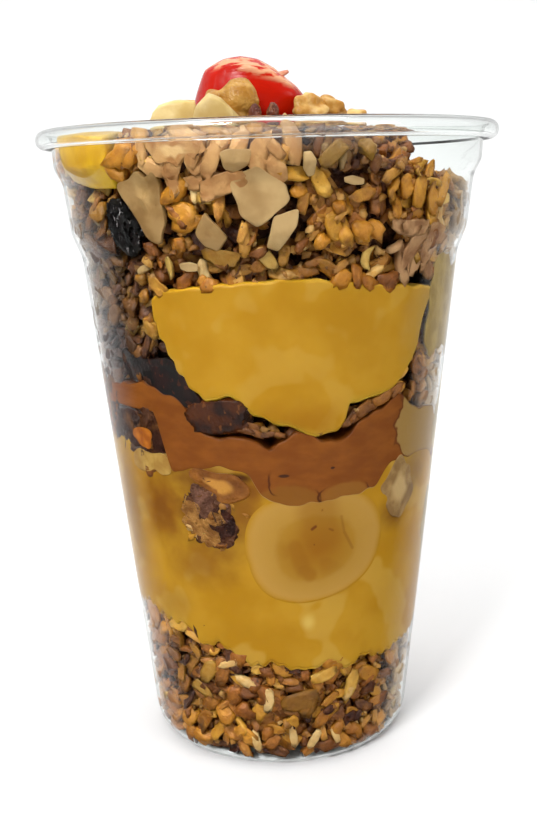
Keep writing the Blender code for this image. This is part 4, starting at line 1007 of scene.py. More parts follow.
class Heap:
    """Loose pieces of one granola layer, sorted by kind and joined into one mesh for each kind."""

    def __init__(self, name, seed, clear=None):
        self.name = name
        self.rng = np.random.default_rng(seed)
        self.clear = clear
        self.parts = {kind: [] for kind in KINDS}

    def jittered(self, columns, rows, pitches):
        """A grid's two coordinates, each moved by up to a share of its pitch."""
        grids = (grid.ravel() for grid in np.meshgrid(columns, rows))
        return [grid + self.rng.uniform(-JITTER, JITTER, len(grid)) * pitch
                for grid, pitch in zip(grids, pitches)]

    def add(self, places, frames, tilt, kinds, lengths, tint):
        """Give each clear place a kind by its share, a length, a turn and a tone."""
        if self.clear is not None:
            free = self.clear.is_free(places)
            places, frames = places[free], frames[free]
        count = len(places)
        picked = self.rng.choice(len(kinds), count, p=np.array(list(kinds.values())))
        turns = frames @ spun_and_tilted(self.rng, count, tilt)
        means = np.array([lengths[name] for name in kinds])
        sizes = self.rng.uniform(SHORTEST, LONGEST, count) * means[picked]
        if callable(tint):
            tint = tint(places)
        tones = np.clip(self.rng.normal(tint, TONE_SPREAD, count), DARKEST, PALEST)
        for index, kind in enumerate(kinds):
            mine = picked == index
            if mine.any():
                self.parts[kind].append((places[mine], turns[mine], sizes[mine], tones[mine]))

    def on_wall(self, low, high, pitch, depth, kinds, lengths, tint, tilt=0.9):
        """Places on a jittered grid between two outlines, of a pitch and at a depth in mm."""
        pitch = pitch * MM
        rows = np.arange(0.0, CUP_HEIGHT, pitch)
        columns = np.arange(0.0, 360.0, np.degrees(pitch / HEAP_RADIUS))
        azimuth, z = self.jittered(columns, rows, (columns[1] - columns[0], pitch))
        inside = (z > low(azimuth)) & (z < high(azimuth))
        azimuth, z = azimuth[inside], z[inside]
        sunk = depth * MM + self.rng.uniform(-DEPTH_JITTER, DEPTH_JITTER, len(z)) * MM
        places = around(azimuth, inner_radius(z) - sunk, z)
        self.add(places, wall_frames(azimuth), tilt, kinds, lengths, tint)

    def by_hand(self, kind, rows):
        """Pieces at given places: azimuth, height, depth and length in mm, spin in degrees, tone."""
        azimuth, z, depth, length, spin, tone = np.array(rows, float).T
        places = around(azimuth, inner_radius(z * MM) - depth * MM, z * MM)
        turns = wall_frames(azimuth) @ turned(np.tile((0.0, 0.0, 1.0), (len(rows), 1)), np.radians(spin))
        self.parts[kind].append((places, turns, length * MM, tone))

    def on_mound(self, pitch, lift, kinds, tint):
        """Places on a jittered grid over the mound, of a pitch and raised by a lift in mm."""
        pitch = pitch * MM
        steps = np.arange(-MOUND_REACH, MOUND_REACH, pitch)
        x, y = self.jittered(steps, steps, (pitch, pitch))
        radius = np.hypot(x, y)
        inside = radius < MOUND_REACH
        x, y, radius = x[inside], y[inside], radius[inside]
        top = mound(np.degrees(np.arctan2(x, -y)), radius)
        z = top + lift * MM + self.rng.uniform(-LIFT_JITTER, LIFT_JITTER, len(x)) * MM
        frames = np.tile(np.eye(3), (len(x), 1, 1))
        self.add(np.stack([x, y, z], axis=-1), frames, 1.0, kinds, LARGE, tint)

    def join(self, finishes, slot, nodes=(), pressed=GRAIN_PRESSED):
        """One mesh for each kind: every piece is a scaled, turned and moved copy of a shape, and a
        point beyond the wall is drawn in to it."""
        for kind, (form, (rows, columns), power, variants) in KINDS.items():
            if not self.parts[kind]:
                continue
            places, turns, sizes, tones = (np.concatenate(part) for part in zip(*self.parts[kind]))
            unit = blunt(ball(rows, columns), power)
            shapes = np.array([form(unit, k) for k in range(variants)])
            chosen = shapes[self.rng.integers(variants, size=len(places))]
            points = np.einsum("nij,nvj->nvi", turns, chosen * sizes[:, None, None]) + places[:, None]
            radius = np.hypot(points[..., 0], points[..., 1])
            limit = inner_radius(np.clip(points[..., 2], 0.0, CUP_HEIGHT)) + pressed
            points[..., :2] *= np.minimum(1.0, limit / np.maximum(radius, MM))[..., None]
            points[..., 2] = np.maximum(points[..., 2], PANEL_RISE + WALL)
            tips = np.clip(np.abs(chosen[..., 0]) * 2.0, 0.0, 1.0) ** 2
            quads, triangles = tube_faces(rows, columns)
            step = np.arange(len(places))[:, None, None] * chosen.shape[1]
            quads = (quads + step).reshape(-1, 4)
            triangles = (triangles + step).reshape(-1, 3)
            values = {"tip": tips.ravel()}
            for title, value in (("tint", tones), ("shade", painted_shade(places)), ("veil", painted_glare(places))):
                values[title] = np.repeat(value, chosen.shape[1])
            name = f"{self.name}_{kind}"
            mesh = make_mesh(name, points.reshape(-1, 3), quads, triangles, values)
            place_piece(name, mesh, finishes[kind], slot, nodes)


class Clearance:
    """What loose pieces have to keep clear of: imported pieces, as one search tree."""

    def __init__(self, nodes, gap):
        self.gap = gap
        vertices = []
        faces = []
        for name in nodes:
            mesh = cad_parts[name].data
            start = len(vertices)
            vertices += [vertex.co for vertex in mesh.vertices]
            faces += [tuple(start + k for k in face.vertices) for face in mesh.polygons]
        self.tree = BVHTree.FromPolygons(vertices, faces)

    def is_free(self, places):
        """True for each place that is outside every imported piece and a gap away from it."""
        free = np.ones(len(places), bool)
        for number, place in enumerate(places):
            near, normal, _, distance = self.tree.find_nearest(Vector(place))
            free[number] = distance > self.gap and (Vector(place) - near).dot(normal) > 0.0
        return free


def mound(azimuth, radius):
    """Top of the granola: a low dome that meets the rim, with a steep edge beside the free space."""
    rim = outline(GRANOLA_RIM)(azimuth)
    dome = MOUND_TOP - MOUND_FALL * (radius / MOUND_EDGE) ** 2
    inside = smoothstep((MOUND_EDGE + MOUND_EDGE_WIDTH - radius) / (2 * MOUND_EDGE_WIDTH))
    return rim + (dome - rim) * inside


def core_piece(node, low, high, depth, seed, look):
    """Granola core: a layer between two faces, standing back from the wall, with a coarse relief."""
    azimuth = np.arange(CORE_COLUMNS) * 360.0 / CORE_COLUMNS
    reach_low = inner_radius(low(azimuth, BEYOND_WALL)) - depth
    reach_high = inner_radius(high(azimuth, BEYOND_WALL)) - depth
    foot, head = low(azimuth, reach_low), high(azimuth, reach_high)
    z_side = foot + (head - foot) * CORE_RISE
    outwards, inwards = reach_low * CORE_SHARES, reach_high * CORE_SHARES[::-1]
    radius = np.concatenate([outwards, inner_radius(z_side) - depth, inwards])
    z = np.concatenate([low(azimuth, outwards), z_side, high(azimuth, inwards)])
    relief = 0.5 * MM * rough(around(azimuth, radius, z), 5 * MM, seed)
    top = len(CORE_SHARES) + len(CORE_RISE)
    z[top:] += relief[top:]
    mesh = layer_mesh(node + "_core", azimuth, radius + relief, z, {})
    place_piece(node + "_core", mesh, look, "granola", [node])


# Mean lengths of the loose pieces
LARGE = {"oats": 4.7 * MM, "clusters": 3.9 * MM, "slivers": 4.4 * MM, "crumbs": 1.9 * MM}
SMALL = {"oats": 3.9 * MM, "clusters": 3.4 * MM, "slivers": 3.6 * MM, "crumbs": 1.7 * MM}
CRUMBS = {"crumbs": 1.0}


def build_granola_base(finishes, core_look):
    """Granola at the bottom: smaller oats, puffed grains and crumbs against the wall and its heel."""
    low = interface(((0, 2.4), (180, 2.4)), 2.4)
    high = interface(BASE_TOP, BASE_MIDDLE, -1.0 * MM)
    core_piece("granola_base", low, high, 4.6 * MM, 51, core_look)
    heap = Heap("granola_base", 61)
    mixed = {"oats": 0.42, "clusters": 0.26, "slivers": 0.22, "crumbs": 0.1}
    # Deeper layers take darker tones: painted shade between the pieces
    for pitch, depth, kinds, lengths, tint in (
        (3.6, 4.4, mixed, LARGE, 0.14), (3.3, 2.8, mixed, LARGE, 0.26),
        (3.5, 1.3, mixed, LARGE, 0.42), (2.5, 1.8, CRUMBS, SMALL, 0.45),
    ):
        heap.on_wall(level(2.8 * MM), raised(outline(BASE_TOP), 0.7), pitch, depth, kinds, lengths, tint)
    heap.by_hand("oats", (
        (8.0, 15.8, 0.4, 8.2, 10, 0.5), (-30.0, 22.0, 0.5, 6.4, 60, 0.75),
        (38.0, 19.0, 0.6, 6.4, -30, 0.5), (30.1, 18.2, 0.4, 6.0, 80, 0.82),
        (17.2, 21.4, 0.4, 5.6, 20, 0.8), (-33.6, 17.6, 0.4, 5.4, -20, 0.78)))
    heap.by_hand("slivers", (
        (-4.9, 16.6, 0.3, 6.0, 84, 0.95), (29.4, 17.2, 0.4, 5.6, 70, 0.85), (-13.7, 20.6, 0.4, 5.4, -30, 0.9),
        (-11.0, 6.4, 0.4, 5.2, 100, 0.9), (4.9, 7.4, 0.4, 4.6, 95, 0.92), (13.9, 6.4, 0.4, 4.8, 60, 0.9),
        (23.9, 6.0, 0.4, 4.0, 110, 0.88), (-20.5, 24.6, 0.4, 4.6, 20, 0.85)))
    heap.by_hand("clusters", (
        (30.3, 10.2, 0.4, 3.4, 0, 0.02), (34.0, 9.6, 0.4, 2.8, 50, 0.02), (20.0, 13.0, 0.4, 3.0, 20, 0.04)))
    heap.join(finishes, "granola", ["granola_base"])


def build_granola_middle(finishes, core_look):
    """Thin granola layer between caramel and custard, set back from the wall, in dark tones of painted shade.
    """
    low = interface(CARAMEL_TOP, CARAMEL_MIDDLE, -0.3 * MM)
    custard_low = interface(UPPER_CUSTARD_LOW, UPPER_LOW_MIDDLE, 0.8 * MM)

    def high(azimuth, radius):
        return np.minimum(custard_low(azimuth, radius), SIDE_GRANOLA_LOW)

    core_piece("granola_middle", low, high, 6.5 * MM, 52, core_look)
    heap = Heap("granola_middle", 62, Clearance(["date_piece"], 2.2 * MM))
    ceiling = at_contact(raised(outline(UPPER_CUSTARD_LOW), -0.8), level(SIDE_GRANOLA_LOW + 1.0 * MM))
    floor = raised(outline(CARAMEL_TOP), 0.6)
    beside = at_contact(level(CUP_HEIGHT), raised(outline(CARAMEL_TOP), 1.2))
    mixed = {"oats": 0.34, "clusters": 0.46, "slivers": 0.1, "crumbs": 0.1}
    # Deeper layers take darker tones: painted shade between the pieces
    heap.on_wall(floor, ceiling, 3.6, 5.0, mixed, SMALL, 0.2)
    heap.on_wall(floor, ceiling, 3.3, 2.4, mixed, SMALL, 0.32)
    heap.on_wall(beside, ceiling, 3.0, 1.0, mixed, SMALL, 0.3)
    heap.by_hand("slivers", (
        (-9.0, 76.6, 0.5, 3.6, -18, 0.2), (-5.4, 76.0, 0.5, 3.8, -24, 0.24), (-2.0, 75.8, 0.5, 3.2, 10, 0.16),
        (-12.2, 76.7, 0.5, 3.0, 6, 0.18), (1.6, 75.6, 0.5, 3.0, -12, 0.22), (26.6, 78.4, 0.5, 4.2, 40, 0.34),
        (32.4, 80.0, 0.5, 4.4, 28, 0.2)))
    heap.by_hand("oats", (
        (29.0, 79.6, 0.5, 5.2, 32, 0.3), (35.5, 81.0, 0.5, 4.8, 24, 0.36), (24.0, 77.6, 0.7, 3.6, 48, 0.2),
        (41.0, 82.6, 0.6, 4.0, 36, 0.22), (-7.0, 77.0, 0.9, 3.4, -20, 0.26)))
    heap.by_hand("crumbs", (
        (13.6, 75.6, 0.5, 1.8, 0, 0.4), (18.0, 76.6, 0.6, 1.6, 0, 0.7), (-3.0, 76.8, 0.7, 1.8, 0, 0.6),
        (26.4, 79.4, 0.4, 1.6, 0, 0.9)))
    heap.join(finishes, "granola", ["granola_middle"])
    build_hollow_crumbs(finishes, mixed)


def build_hollow_crumbs(finishes, mixed):
    """Crumbs in the hollow at the left, in dark tones of painted shade, up to the caramel over it and beside
    the custard.
    """
    clear = Clearance(["mango_crumb"], 0.8 * MM)
    hollow = Heap("hollow_crumbs", 64, clear)
    under = outline(LOWER_CUSTARD_TOP)
    roof = stepped(((294.0, 317.0, HOLLOW_ROOF - 0.2 * MM),), 0.0)
    hollow.on_wall(under, roof, 2.8, 0.7, mixed, SMALL, 0.16)
    hollow.clear = None
    hollow.on_wall(under, roof, 2.2, 0.6, CRUMBS, SMALL, 0.1)
    left_end = stepped(((272.0, 301.0, 71.0 * MM),), CUP_HEIGHT)
    hollow.on_wall(left_end, level(87.0 * MM), 2.2, 0.4, mixed, SMALL, 0.2)
    hollow.join(finishes, "granola", pressed=PIECE_PRESSED)


def build_granola_top(finishes, core_look, obstacles):
    """The mound: large oats, clusters and slivers at the wall and over the top, with crumbs between."""
    custard_top = outline(UPPER_CUSTARD_TOP)
    custard_face = interface(UPPER_CUSTARD_TOP, UPPER_TOP_MIDDLE, -0.4 * MM)

    def from_low(azimuth):
        touching = contact(azimuth)
        beside = SIDE_GRANOLA_LOW - 1.5 * MM
        return touching * (custard_top(azimuth) + 0.4 * MM) + (1.0 - touching) * beside

    def low(azimuth, radius):
        over = custard_face(azimuth, radius)
        down = (1.0 - contact(azimuth)) * smoothstep((radius - 33 * MM) / (2.5 * MM))
        return over + (SIDE_GRANOLA_LOW - over) * down

    def high(azimuth, radius):
        return mound(azimuth, radius) - 1.6 * MM

    core_piece("granola_top", low, high, 5.2 * MM, 53, core_look)
    clear = Clearance(obstacles, 1.4 * MM)
    heap = Heap("granola_top", 63, clear)
    mixed = {"oats": 0.38, "clusters": 0.28, "slivers": 0.26, "crumbs": 0.08}
    # Deeper layers take darker tones: painted shade between the pieces
    for pitch, depth, kinds, tint in (
        (3.4, 4.6, mixed, 0.26), (3.0, 2.9, mixed, 0.4), (3.3, 1.3, mixed, 0.58), (2.4, 2.0, CRUMBS, 0.5),
    ):
        heap.on_wall(from_low, raised(outline(GRANOLA_RIM), -0.6), pitch, depth, kinds, LARGE, tint)
    heap.by_hand("clusters", (
        (-38.2, 129.2, 0.8, 6.2, 20, 0.7), (-34.4, 129.0, 1.0, 5.2, 80, 0.62),
        (-40.2, 126.0, 1.0, 4.8, -30, 0.66), (-31.6, 130.6, 1.4, 4.6, 50, 0.6),
        (-24.0, 122.6, 1.0, 6.0, 35, 0.66), (-21.4, 118.4, 1.2, 5.4, -20, 0.7)))
    heap.by_hand("oats", (
        (15.2, 128.4, 0.6, 6.6, 40, 0.8), (-12.6, 110.2, 0.7, 6.4, -15, 0.7),
        (42.0, 121.4, 0.8, 7.0, 76, 0.55), (47.4, 119.4, 0.9, 6.2, 98, 0.5),
        (52.0, 121.0, 0.8, 6.4, 68, 0.6)))
    # Deeper layers on the mound take darker tones: painted shade between the pieces
    heap.on_mound(3.4, -2.0, mixed, 0.35)
    heap.on_mound(3.5, -0.9, mixed, 0.6)
    heap.on_mound(2.8, -0.4, CRUMBS, 0.55)
    edge = Heap("granola_edge", 66, clear)
    under_edge = at_contact(raised(custard_top, -0.8), level(CUP_HEIGHT))
    small_ones = {"clusters": 0.4, "crumbs": 0.3, "oats": 0.3}
    edge.on_wall(under_edge, raised(custard_top, 1.4), 2.7, 0.9, small_ones, SMALL, 0.5, 0.5)
    heap.join(finishes, "granola", ["granola_top"])
    edge.join(finishes, "granola", pressed=PIECE_PRESSED)


# Pieces at the wall

def against_wall(points, place, push=0.0, pressed=PIECE_PRESSED):
    """Points of a piece bent round the wall: x runs along it, y into the cup and z up, all in metres
    from the piece's middle. The piece is first turned in its plane and leaned, then its nearest point
    is set to the wall plus a push, and what would pass the wall is drawn in to it."""
    azimuth, height, sink, lean, spin = (*place, 0.0, 0.0, 0.0)[:5]
    turn, tip = math.radians(spin), math.radians(lean)
    x = points[..., 0] * math.cos(turn) + points[..., 2] * math.sin(turn)
    z = points[..., 2] * math.cos(turn) - points[..., 0] * math.sin(turn)
    y = points[..., 1] * math.cos(tip) - z * math.sin(tip)
    z = points[..., 1] * math.sin(tip) + z * math.cos(tip)
    z = z + height * MM
    wall = inner_radius(np.clip(z, 0.0, CUP_HEIGHT))
    nearest = y.min()
    radius = np.minimum(wall + pressed, wall + push * MM - sink * MM - (y - nearest))
    return around(azimuth + np.degrees(x / float(inner_radius(height * MM))), radius, z)


def plate_grid(corners, thickness):
    """Chip in its own XZ plane: its outline, drawn in towards the middle over both faces, with a
    rounded edge. Corners and thickness are in mm."""
    corners = np.array(corners, float)
    steps = np.arange(CHIP_COLUMNS) / CHIP_COLUMNS * len(corners)
    start = steps.astype(int)
    share = (steps - start)[:, None]
    edge = corners[start] * (1.0 - share) + corners[(start + 1) % len(corners)] * share
    for _ in range(CHIP_SMOOTHING):
        edge = (np.roll(edge, 1, axis=0) + 2.0 * edge + np.roll(edge, -1, axis=0)) / 4.0
    edge = edge * (1.04 + 0.03 * ripple(np.pad(edge, ((0, 0), (0, 1))), 4.0, CHIP_COLUMNS))[:, None]
    middle = edge.mean(axis=0)
    reach = np.linalg.norm(edge - middle, axis=1).mean()
    drawn = 1.0 - np.array([0.4, 0.18, 0.05]) / reach
    insets = np.concatenate([[0.15, 0.4, 0.65], drawn, [1.0], drawn[::-1], [0.65, 0.4, 0.15]])
    arc = np.array([1.0, 1.0, 1.0, 1.0, 0.9, 0.6, 0.0, -0.6, -0.9, -1.0, -1.0, -1.0, -1.0])
    flat = middle + (edge - middle) * insets[:, None, None]
    depth = np.broadcast_to((arc * thickness / 2)[:, None], flat.shape[:2])
    return np.stack([flat[..., 0], depth, flat[..., 1]], axis=-1) * MM, middle


def chip(name, corners, thickness, place, look, seed, wave=0.25, packed=True, pressed=PIECE_PRESSED):
    """Chip at the wall: a plate with a slight wave, pressed to the wall where it would pass it. It
    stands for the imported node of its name, if there is one."""
    grid, middle = plate_grid(corners, thickness)
    grid[..., 1] += wave * MM * ripple(grid * (1.0, 0.0, 1.0), 9 * MM, seed)
    ends = np.array([(middle[0], side * thickness / 2, middle[1]) for side in (1, -1)]) * MM
    vertices = against_wall(with_ends(grid, *ends), place, 0.3 + 2.0 * wave, pressed)
    share = np.abs(np.linspace(-1.0, 1.0, len(grid)))[:, None] * np.ones(CHIP_COLUMNS)
    show(name, len(grid), vertices, look, None if packed else (), {"share": 1.0 - share})


def ragged(width, height, seed, points):
    """Corners in mm of a torn flake: an oval whose corners stand in by random shares."""
    reach = np.random.default_rng(seed).uniform(0.55, 1.1, points)
    angles = np.radians(np.arange(points) * 360.0 / points)
    return list(zip(width / 2 * reach * np.cos(angles), height / 2 * reach * np.sin(angles)))


def lump_points(size, seed, unevenness, squareness=0.0, wrinkles=0.0, rows=LUMP_ROWS, columns=LUMP_COLUMNS):
    """Rounded piece: a ball drawn towards a block by its squareness, uneven, with fine wrinkles."""
    unit = ball(rows, columns)
    reach = 1.0 + squareness * (1.0 / np.abs(unit).max(axis=1) - 1.0)
    reach += unevenness * (ripple(unit, 1.6, seed) + 0.5 * ripple(unit, 0.8, seed + 1))
    reach -= wrinkles * np.abs(ripple(unit, 0.35, seed + 2))
    return unit * reach[:, None] * np.array(size) / 2 * MM


def lump(name, look, size, place, seed, unevenness, squareness=0.0, wrinkles=0.0, push=1.0,
         pressed=PIECE_PRESSED, taper=0.0, node=None):
    """Rounded piece at the wall, which may be narrower at its back by a taper. It stands for the
    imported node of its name, or for another."""
    vertices = lump_points(size, seed, unevenness, squareness, wrinkles)
    vertices[:, 0] *= 1.0 - taper * smoothstep(vertices[:, 1] / (size[1] * MM) + 0.5)
    show(name, LUMP_ROWS, against_wall(vertices, place, push, pressed), look, [node or name])


# Strokes on a slice's face: two ends x, z, x, z and a half width in mm, how dark and how warm
BANANA_STROKES = (
    (-0.6, 4.8, 0.1, 5.2, 0.24, 0.9, 0.0), (2.9, 4.1, 3.6, 3.6, 0.16, 0.5, 0.0),
    (1.8, 8.4, 1.8, 8.5, 0.14, 0.6, 0.0), (-0.5, 1.3, -0.5, 1.4, 0.12, 0.6, 0.0),
    (-4.4, 1.4, -3.2, -3.8, 1.5, 0.0, 0.7), (-3.2, -3.8, -2.0, -5.2, 1.3, 0.0, 0.9),
    (5.6, 6.2, 6.0, 2.6, 0.2, 0.3, 0.0), (6.0, 2.6, 7.6, -1.4, 0.24, 0.3, 0.0),
    (1.0, 8.6, 1.4, 3.0, 3.6, 0.0, 0.8), (-0.5, 5.0, 3.8, 3.8, 1.1, 0.0, 0.6),
)


def strokes_on(x, z):
    """How dark and how warm the strokes make each place: the most that any of them gives."""
    darkest, warmest = np.zeros_like(x), np.zeros_like(x)
    for x0, z0, x1, z1, half, dark, warm in BANANA_STROKES:
        along_x, along_z = x1 - x0, z1 - z0
        t = np.clip(((x - x0) * along_x + (z - z0) * along_z) / (along_x ** 2 + along_z ** 2), 0.0, 1.0)
        away = np.hypot(x - x0 - t * along_x, z - z0 - t * along_z) / half
        darkest = np.maximum(darkest, dark * smoothstep(1.8 - away))
        warmest = np.maximum(warmest, warm * smoothstep(1.6 - away))
    return darkest, warmest


def banana(name, place, width, tall, phase, finish):
    """Banana slice: uneven oval, taller above its middle, with a rounded edge and a shallowly dished
    face. It carries values for the distance from its middle, its three lobes, its seeds and the custard
    that veils its edge."""
    angle = np.arange(BANANA_COLUMNS) * 2.0 * math.pi / BANANA_COLUMNS
    spoke = 1.0 + 0.03 * np.sin(3.0 * angle + phase) - 0.03 * np.cos(4.0 * angle)
    face = np.linspace(0.76, 0.02, 60)
    insets = np.concatenate([[0.15, 0.5, 0.8, 0.95, 1.0, 0.99, 0.96, 0.92, 0.86, 0.8], face])
    edge = (BANANA_HALF, BANANA_HALF, 5.2, 4.4, 2.0, -4.62, -4.72, -4.82, -4.92, -5.2)
    depth = np.concatenate([edge, -BANANA_HALF - 0.1 * face])
    x = insets[:, None] * spoke * np.cos(angle) * width / 2
    z = insets[:, None] * spoke * np.sin(angle) * tall / 2 * (1.0 + 0.17 * smoothstep(np.sin(angle) / 0.7))
    grid = np.stack([x, np.broadcast_to(depth[:, None], x.shape), z], axis=-1) * MM
    vertices = with_ends(grid, (0.0, BANANA_HALF * MM, 0.0), (0.0, -BANANA_HALF * MM, 0.0))
    vertices = against_wall(vertices, place, 0.9, GRAIN_PRESSED)
    share = np.broadcast_to(insets[:, None], x.shape)
    lobe = smoothstep((np.cos(1.5 * (angle - 0.9)) ** 2 - 0.6) / 0.4) * smoothstep((0.62 - share) / 0.2)
    lobe = lobe * smoothstep((share - 0.1) / 0.15)
    veil = smoothstep((share - 0.88) / 0.1) * (0.7 + 0.3 * smoothstep((rough(grid, 8 * MM, 5) + 0.4) / 1.2))
    seed, warm = strokes_on(x, z)
    values = {"share": share, "lobe": np.maximum(0.5 * lobe, warm), "veil": veil, "seed": seed}
    show(name, len(grid), vertices, (finish, "banana"), values=values)


def build_cluster(finishes):
    """Oats and grains stuck to the front of the cluster in the lower custard."""
    heap = Heap("cluster_front", 65)

    def half(azimuth):
        """Half the cluster's height: an ellipse about 20 degrees wide."""
        away = folded(azimuth - 337.0) / 10.5
        return 8.0 * MM * np.sqrt(np.clip(1.0 - away ** 2, 0.0, 1.0)) - 0.5 * MM * (np.abs(away) > 1.0)

    def low(azimuth):
        return CLUSTER_MIDDLE - half(azimuth)

    def high(azimuth):
        return CLUSTER_MIDDLE + half(azimuth)

    def golden(places):
        """Lighter towards the lower left."""
        left = (-24.0 - azimuth_of(places)) / 8.0
        return 0.34 + 0.4 * smoothstep(left + (57.0 - places[:, 2] / MM) / 8.0)

    heap.on_wall(low, high, 3.0, 1.1, {"oats": 0.3, "clusters": 0.5, "slivers": 0.2}, SMALL, golden)
    heap.on_wall(low, high, 2.4, 0.5, CRUMBS, SMALL, golden)
    heap.join(finishes, "granola", ["granola_cluster"], PIECE_PRESSED)


# Heaps of shreds: two tones, spans of azimuth with the height they start at, their top, and a seed
SHREDS = {
    "coconut_shreds": ((196, 152, 98), (162, 116, 70), (
        (329.0, 336.0, 126.4 * MM), (336.0, 350.0, 122.4 * MM), (350.0, 366.0, 126.0 * MM)), 131.6, 67),
    "mauve_shreds": ((178, 138, 96), (136, 96, 62), ((37.0, 53.0, 107.0 * MM),), 115.0, 68),
}


def build_shreds():
    """Coconut shreds against the wall: peach ones under the rim, and mauve ones at the right."""
    lengths = {"oats": 6.0 * MM, "slivers": 6.6 * MM}
    for name, (light, deep, spans, top, seed) in SHREDS.items():
        heap = Heap(name, seed)
        heap.on_wall(stepped(spans, CUP_HEIGHT), level(top * MM), 2.7, 0.8, {"oats": 0.5, "slivers": 0.5},
                     lengths, 0.5, 0.4)
        look = flesh_finish(name, light, deep, 4, 0.55, 0.4)
        heap.join({"oats": look, "slivers": look}, "coconut")


# Looks: slot, light and deep tone, size of the patches in mm, roughness, depth of the relief in mm,
# and perhaps the tones of a rim and of painted glints
WALL_LOOKS = {
    "nut_shards": ("nut", (186, 156, 108), (160, 128, 82), 6, 0.5, 0.1),
    "nut_shards_deep": ("nut", (158, 126, 80), (130, 99, 56), 5, 0.5, 0.1),
    "coconut": ("coconut", (184, 144, 92), (156, 110, 64), 3, 0.6, 0.4, (202, 168, 116)),
    "grey_flake": ("coconut", (166, 134, 84), (136, 104, 62), 3, 0.5, 0.6, (188, 158, 108)),
    "oat_flake": ("granola", (146, 92, 34), (112, 64, 22), 4, 0.3, 0.9, (188, 134, 58)),
    "pale_chip": ("coconut", (182, 148, 76), (158, 120, 56), 3, 0.5, 0.3),
    "raisins": ("raisin", (22, 14, 13), (7, 5, 6), 2, 0.25, 1.2, None, (130, 124, 124)),
    "date": ("date", (76, 38, 12), (34, 14, 5), 3, 0.3, 0.5, None, (112, 66, 30)),
    # A dark glossy sheet that paints the shade in a gap, with painted glints
    "glossy_shade": ("date", (34, 11, 3), (10, 3, 1), 3, 0.4, 0.3, None, (64, 30, 12)),
    "mango": ("mango", (212, 170, 34), (190, 144, 18), 6, 0.3, 0.15),
    "mango_crumb": ("mango", (186, 112, 26), (150, 80, 14), 2, 0.3, 0.3),
    "cluster": ("granola", (100, 62, 40), (52, 28, 20), 2.4, 0.6, 1.2),
    "cluster_mauve": ("granola", (124, 86, 68), (88, 56, 42), 2, 0.5, 1.2),
    "cluster_golden": ("granola", (172, 124, 64), (128, 84, 38), 2, 0.45, 1.2),
    "cluster_dark": ("granola", (74, 40, 28), (42, 20, 14), 2, 0.5, 1.2),
    # Pale beige of the sheets that paint the glare of the plastic at the cup's right edge
    "painted_glare_sheet": ("custard", (168, 142, 76), (146, 120, 58), 4, 0.5, 0.2),
}

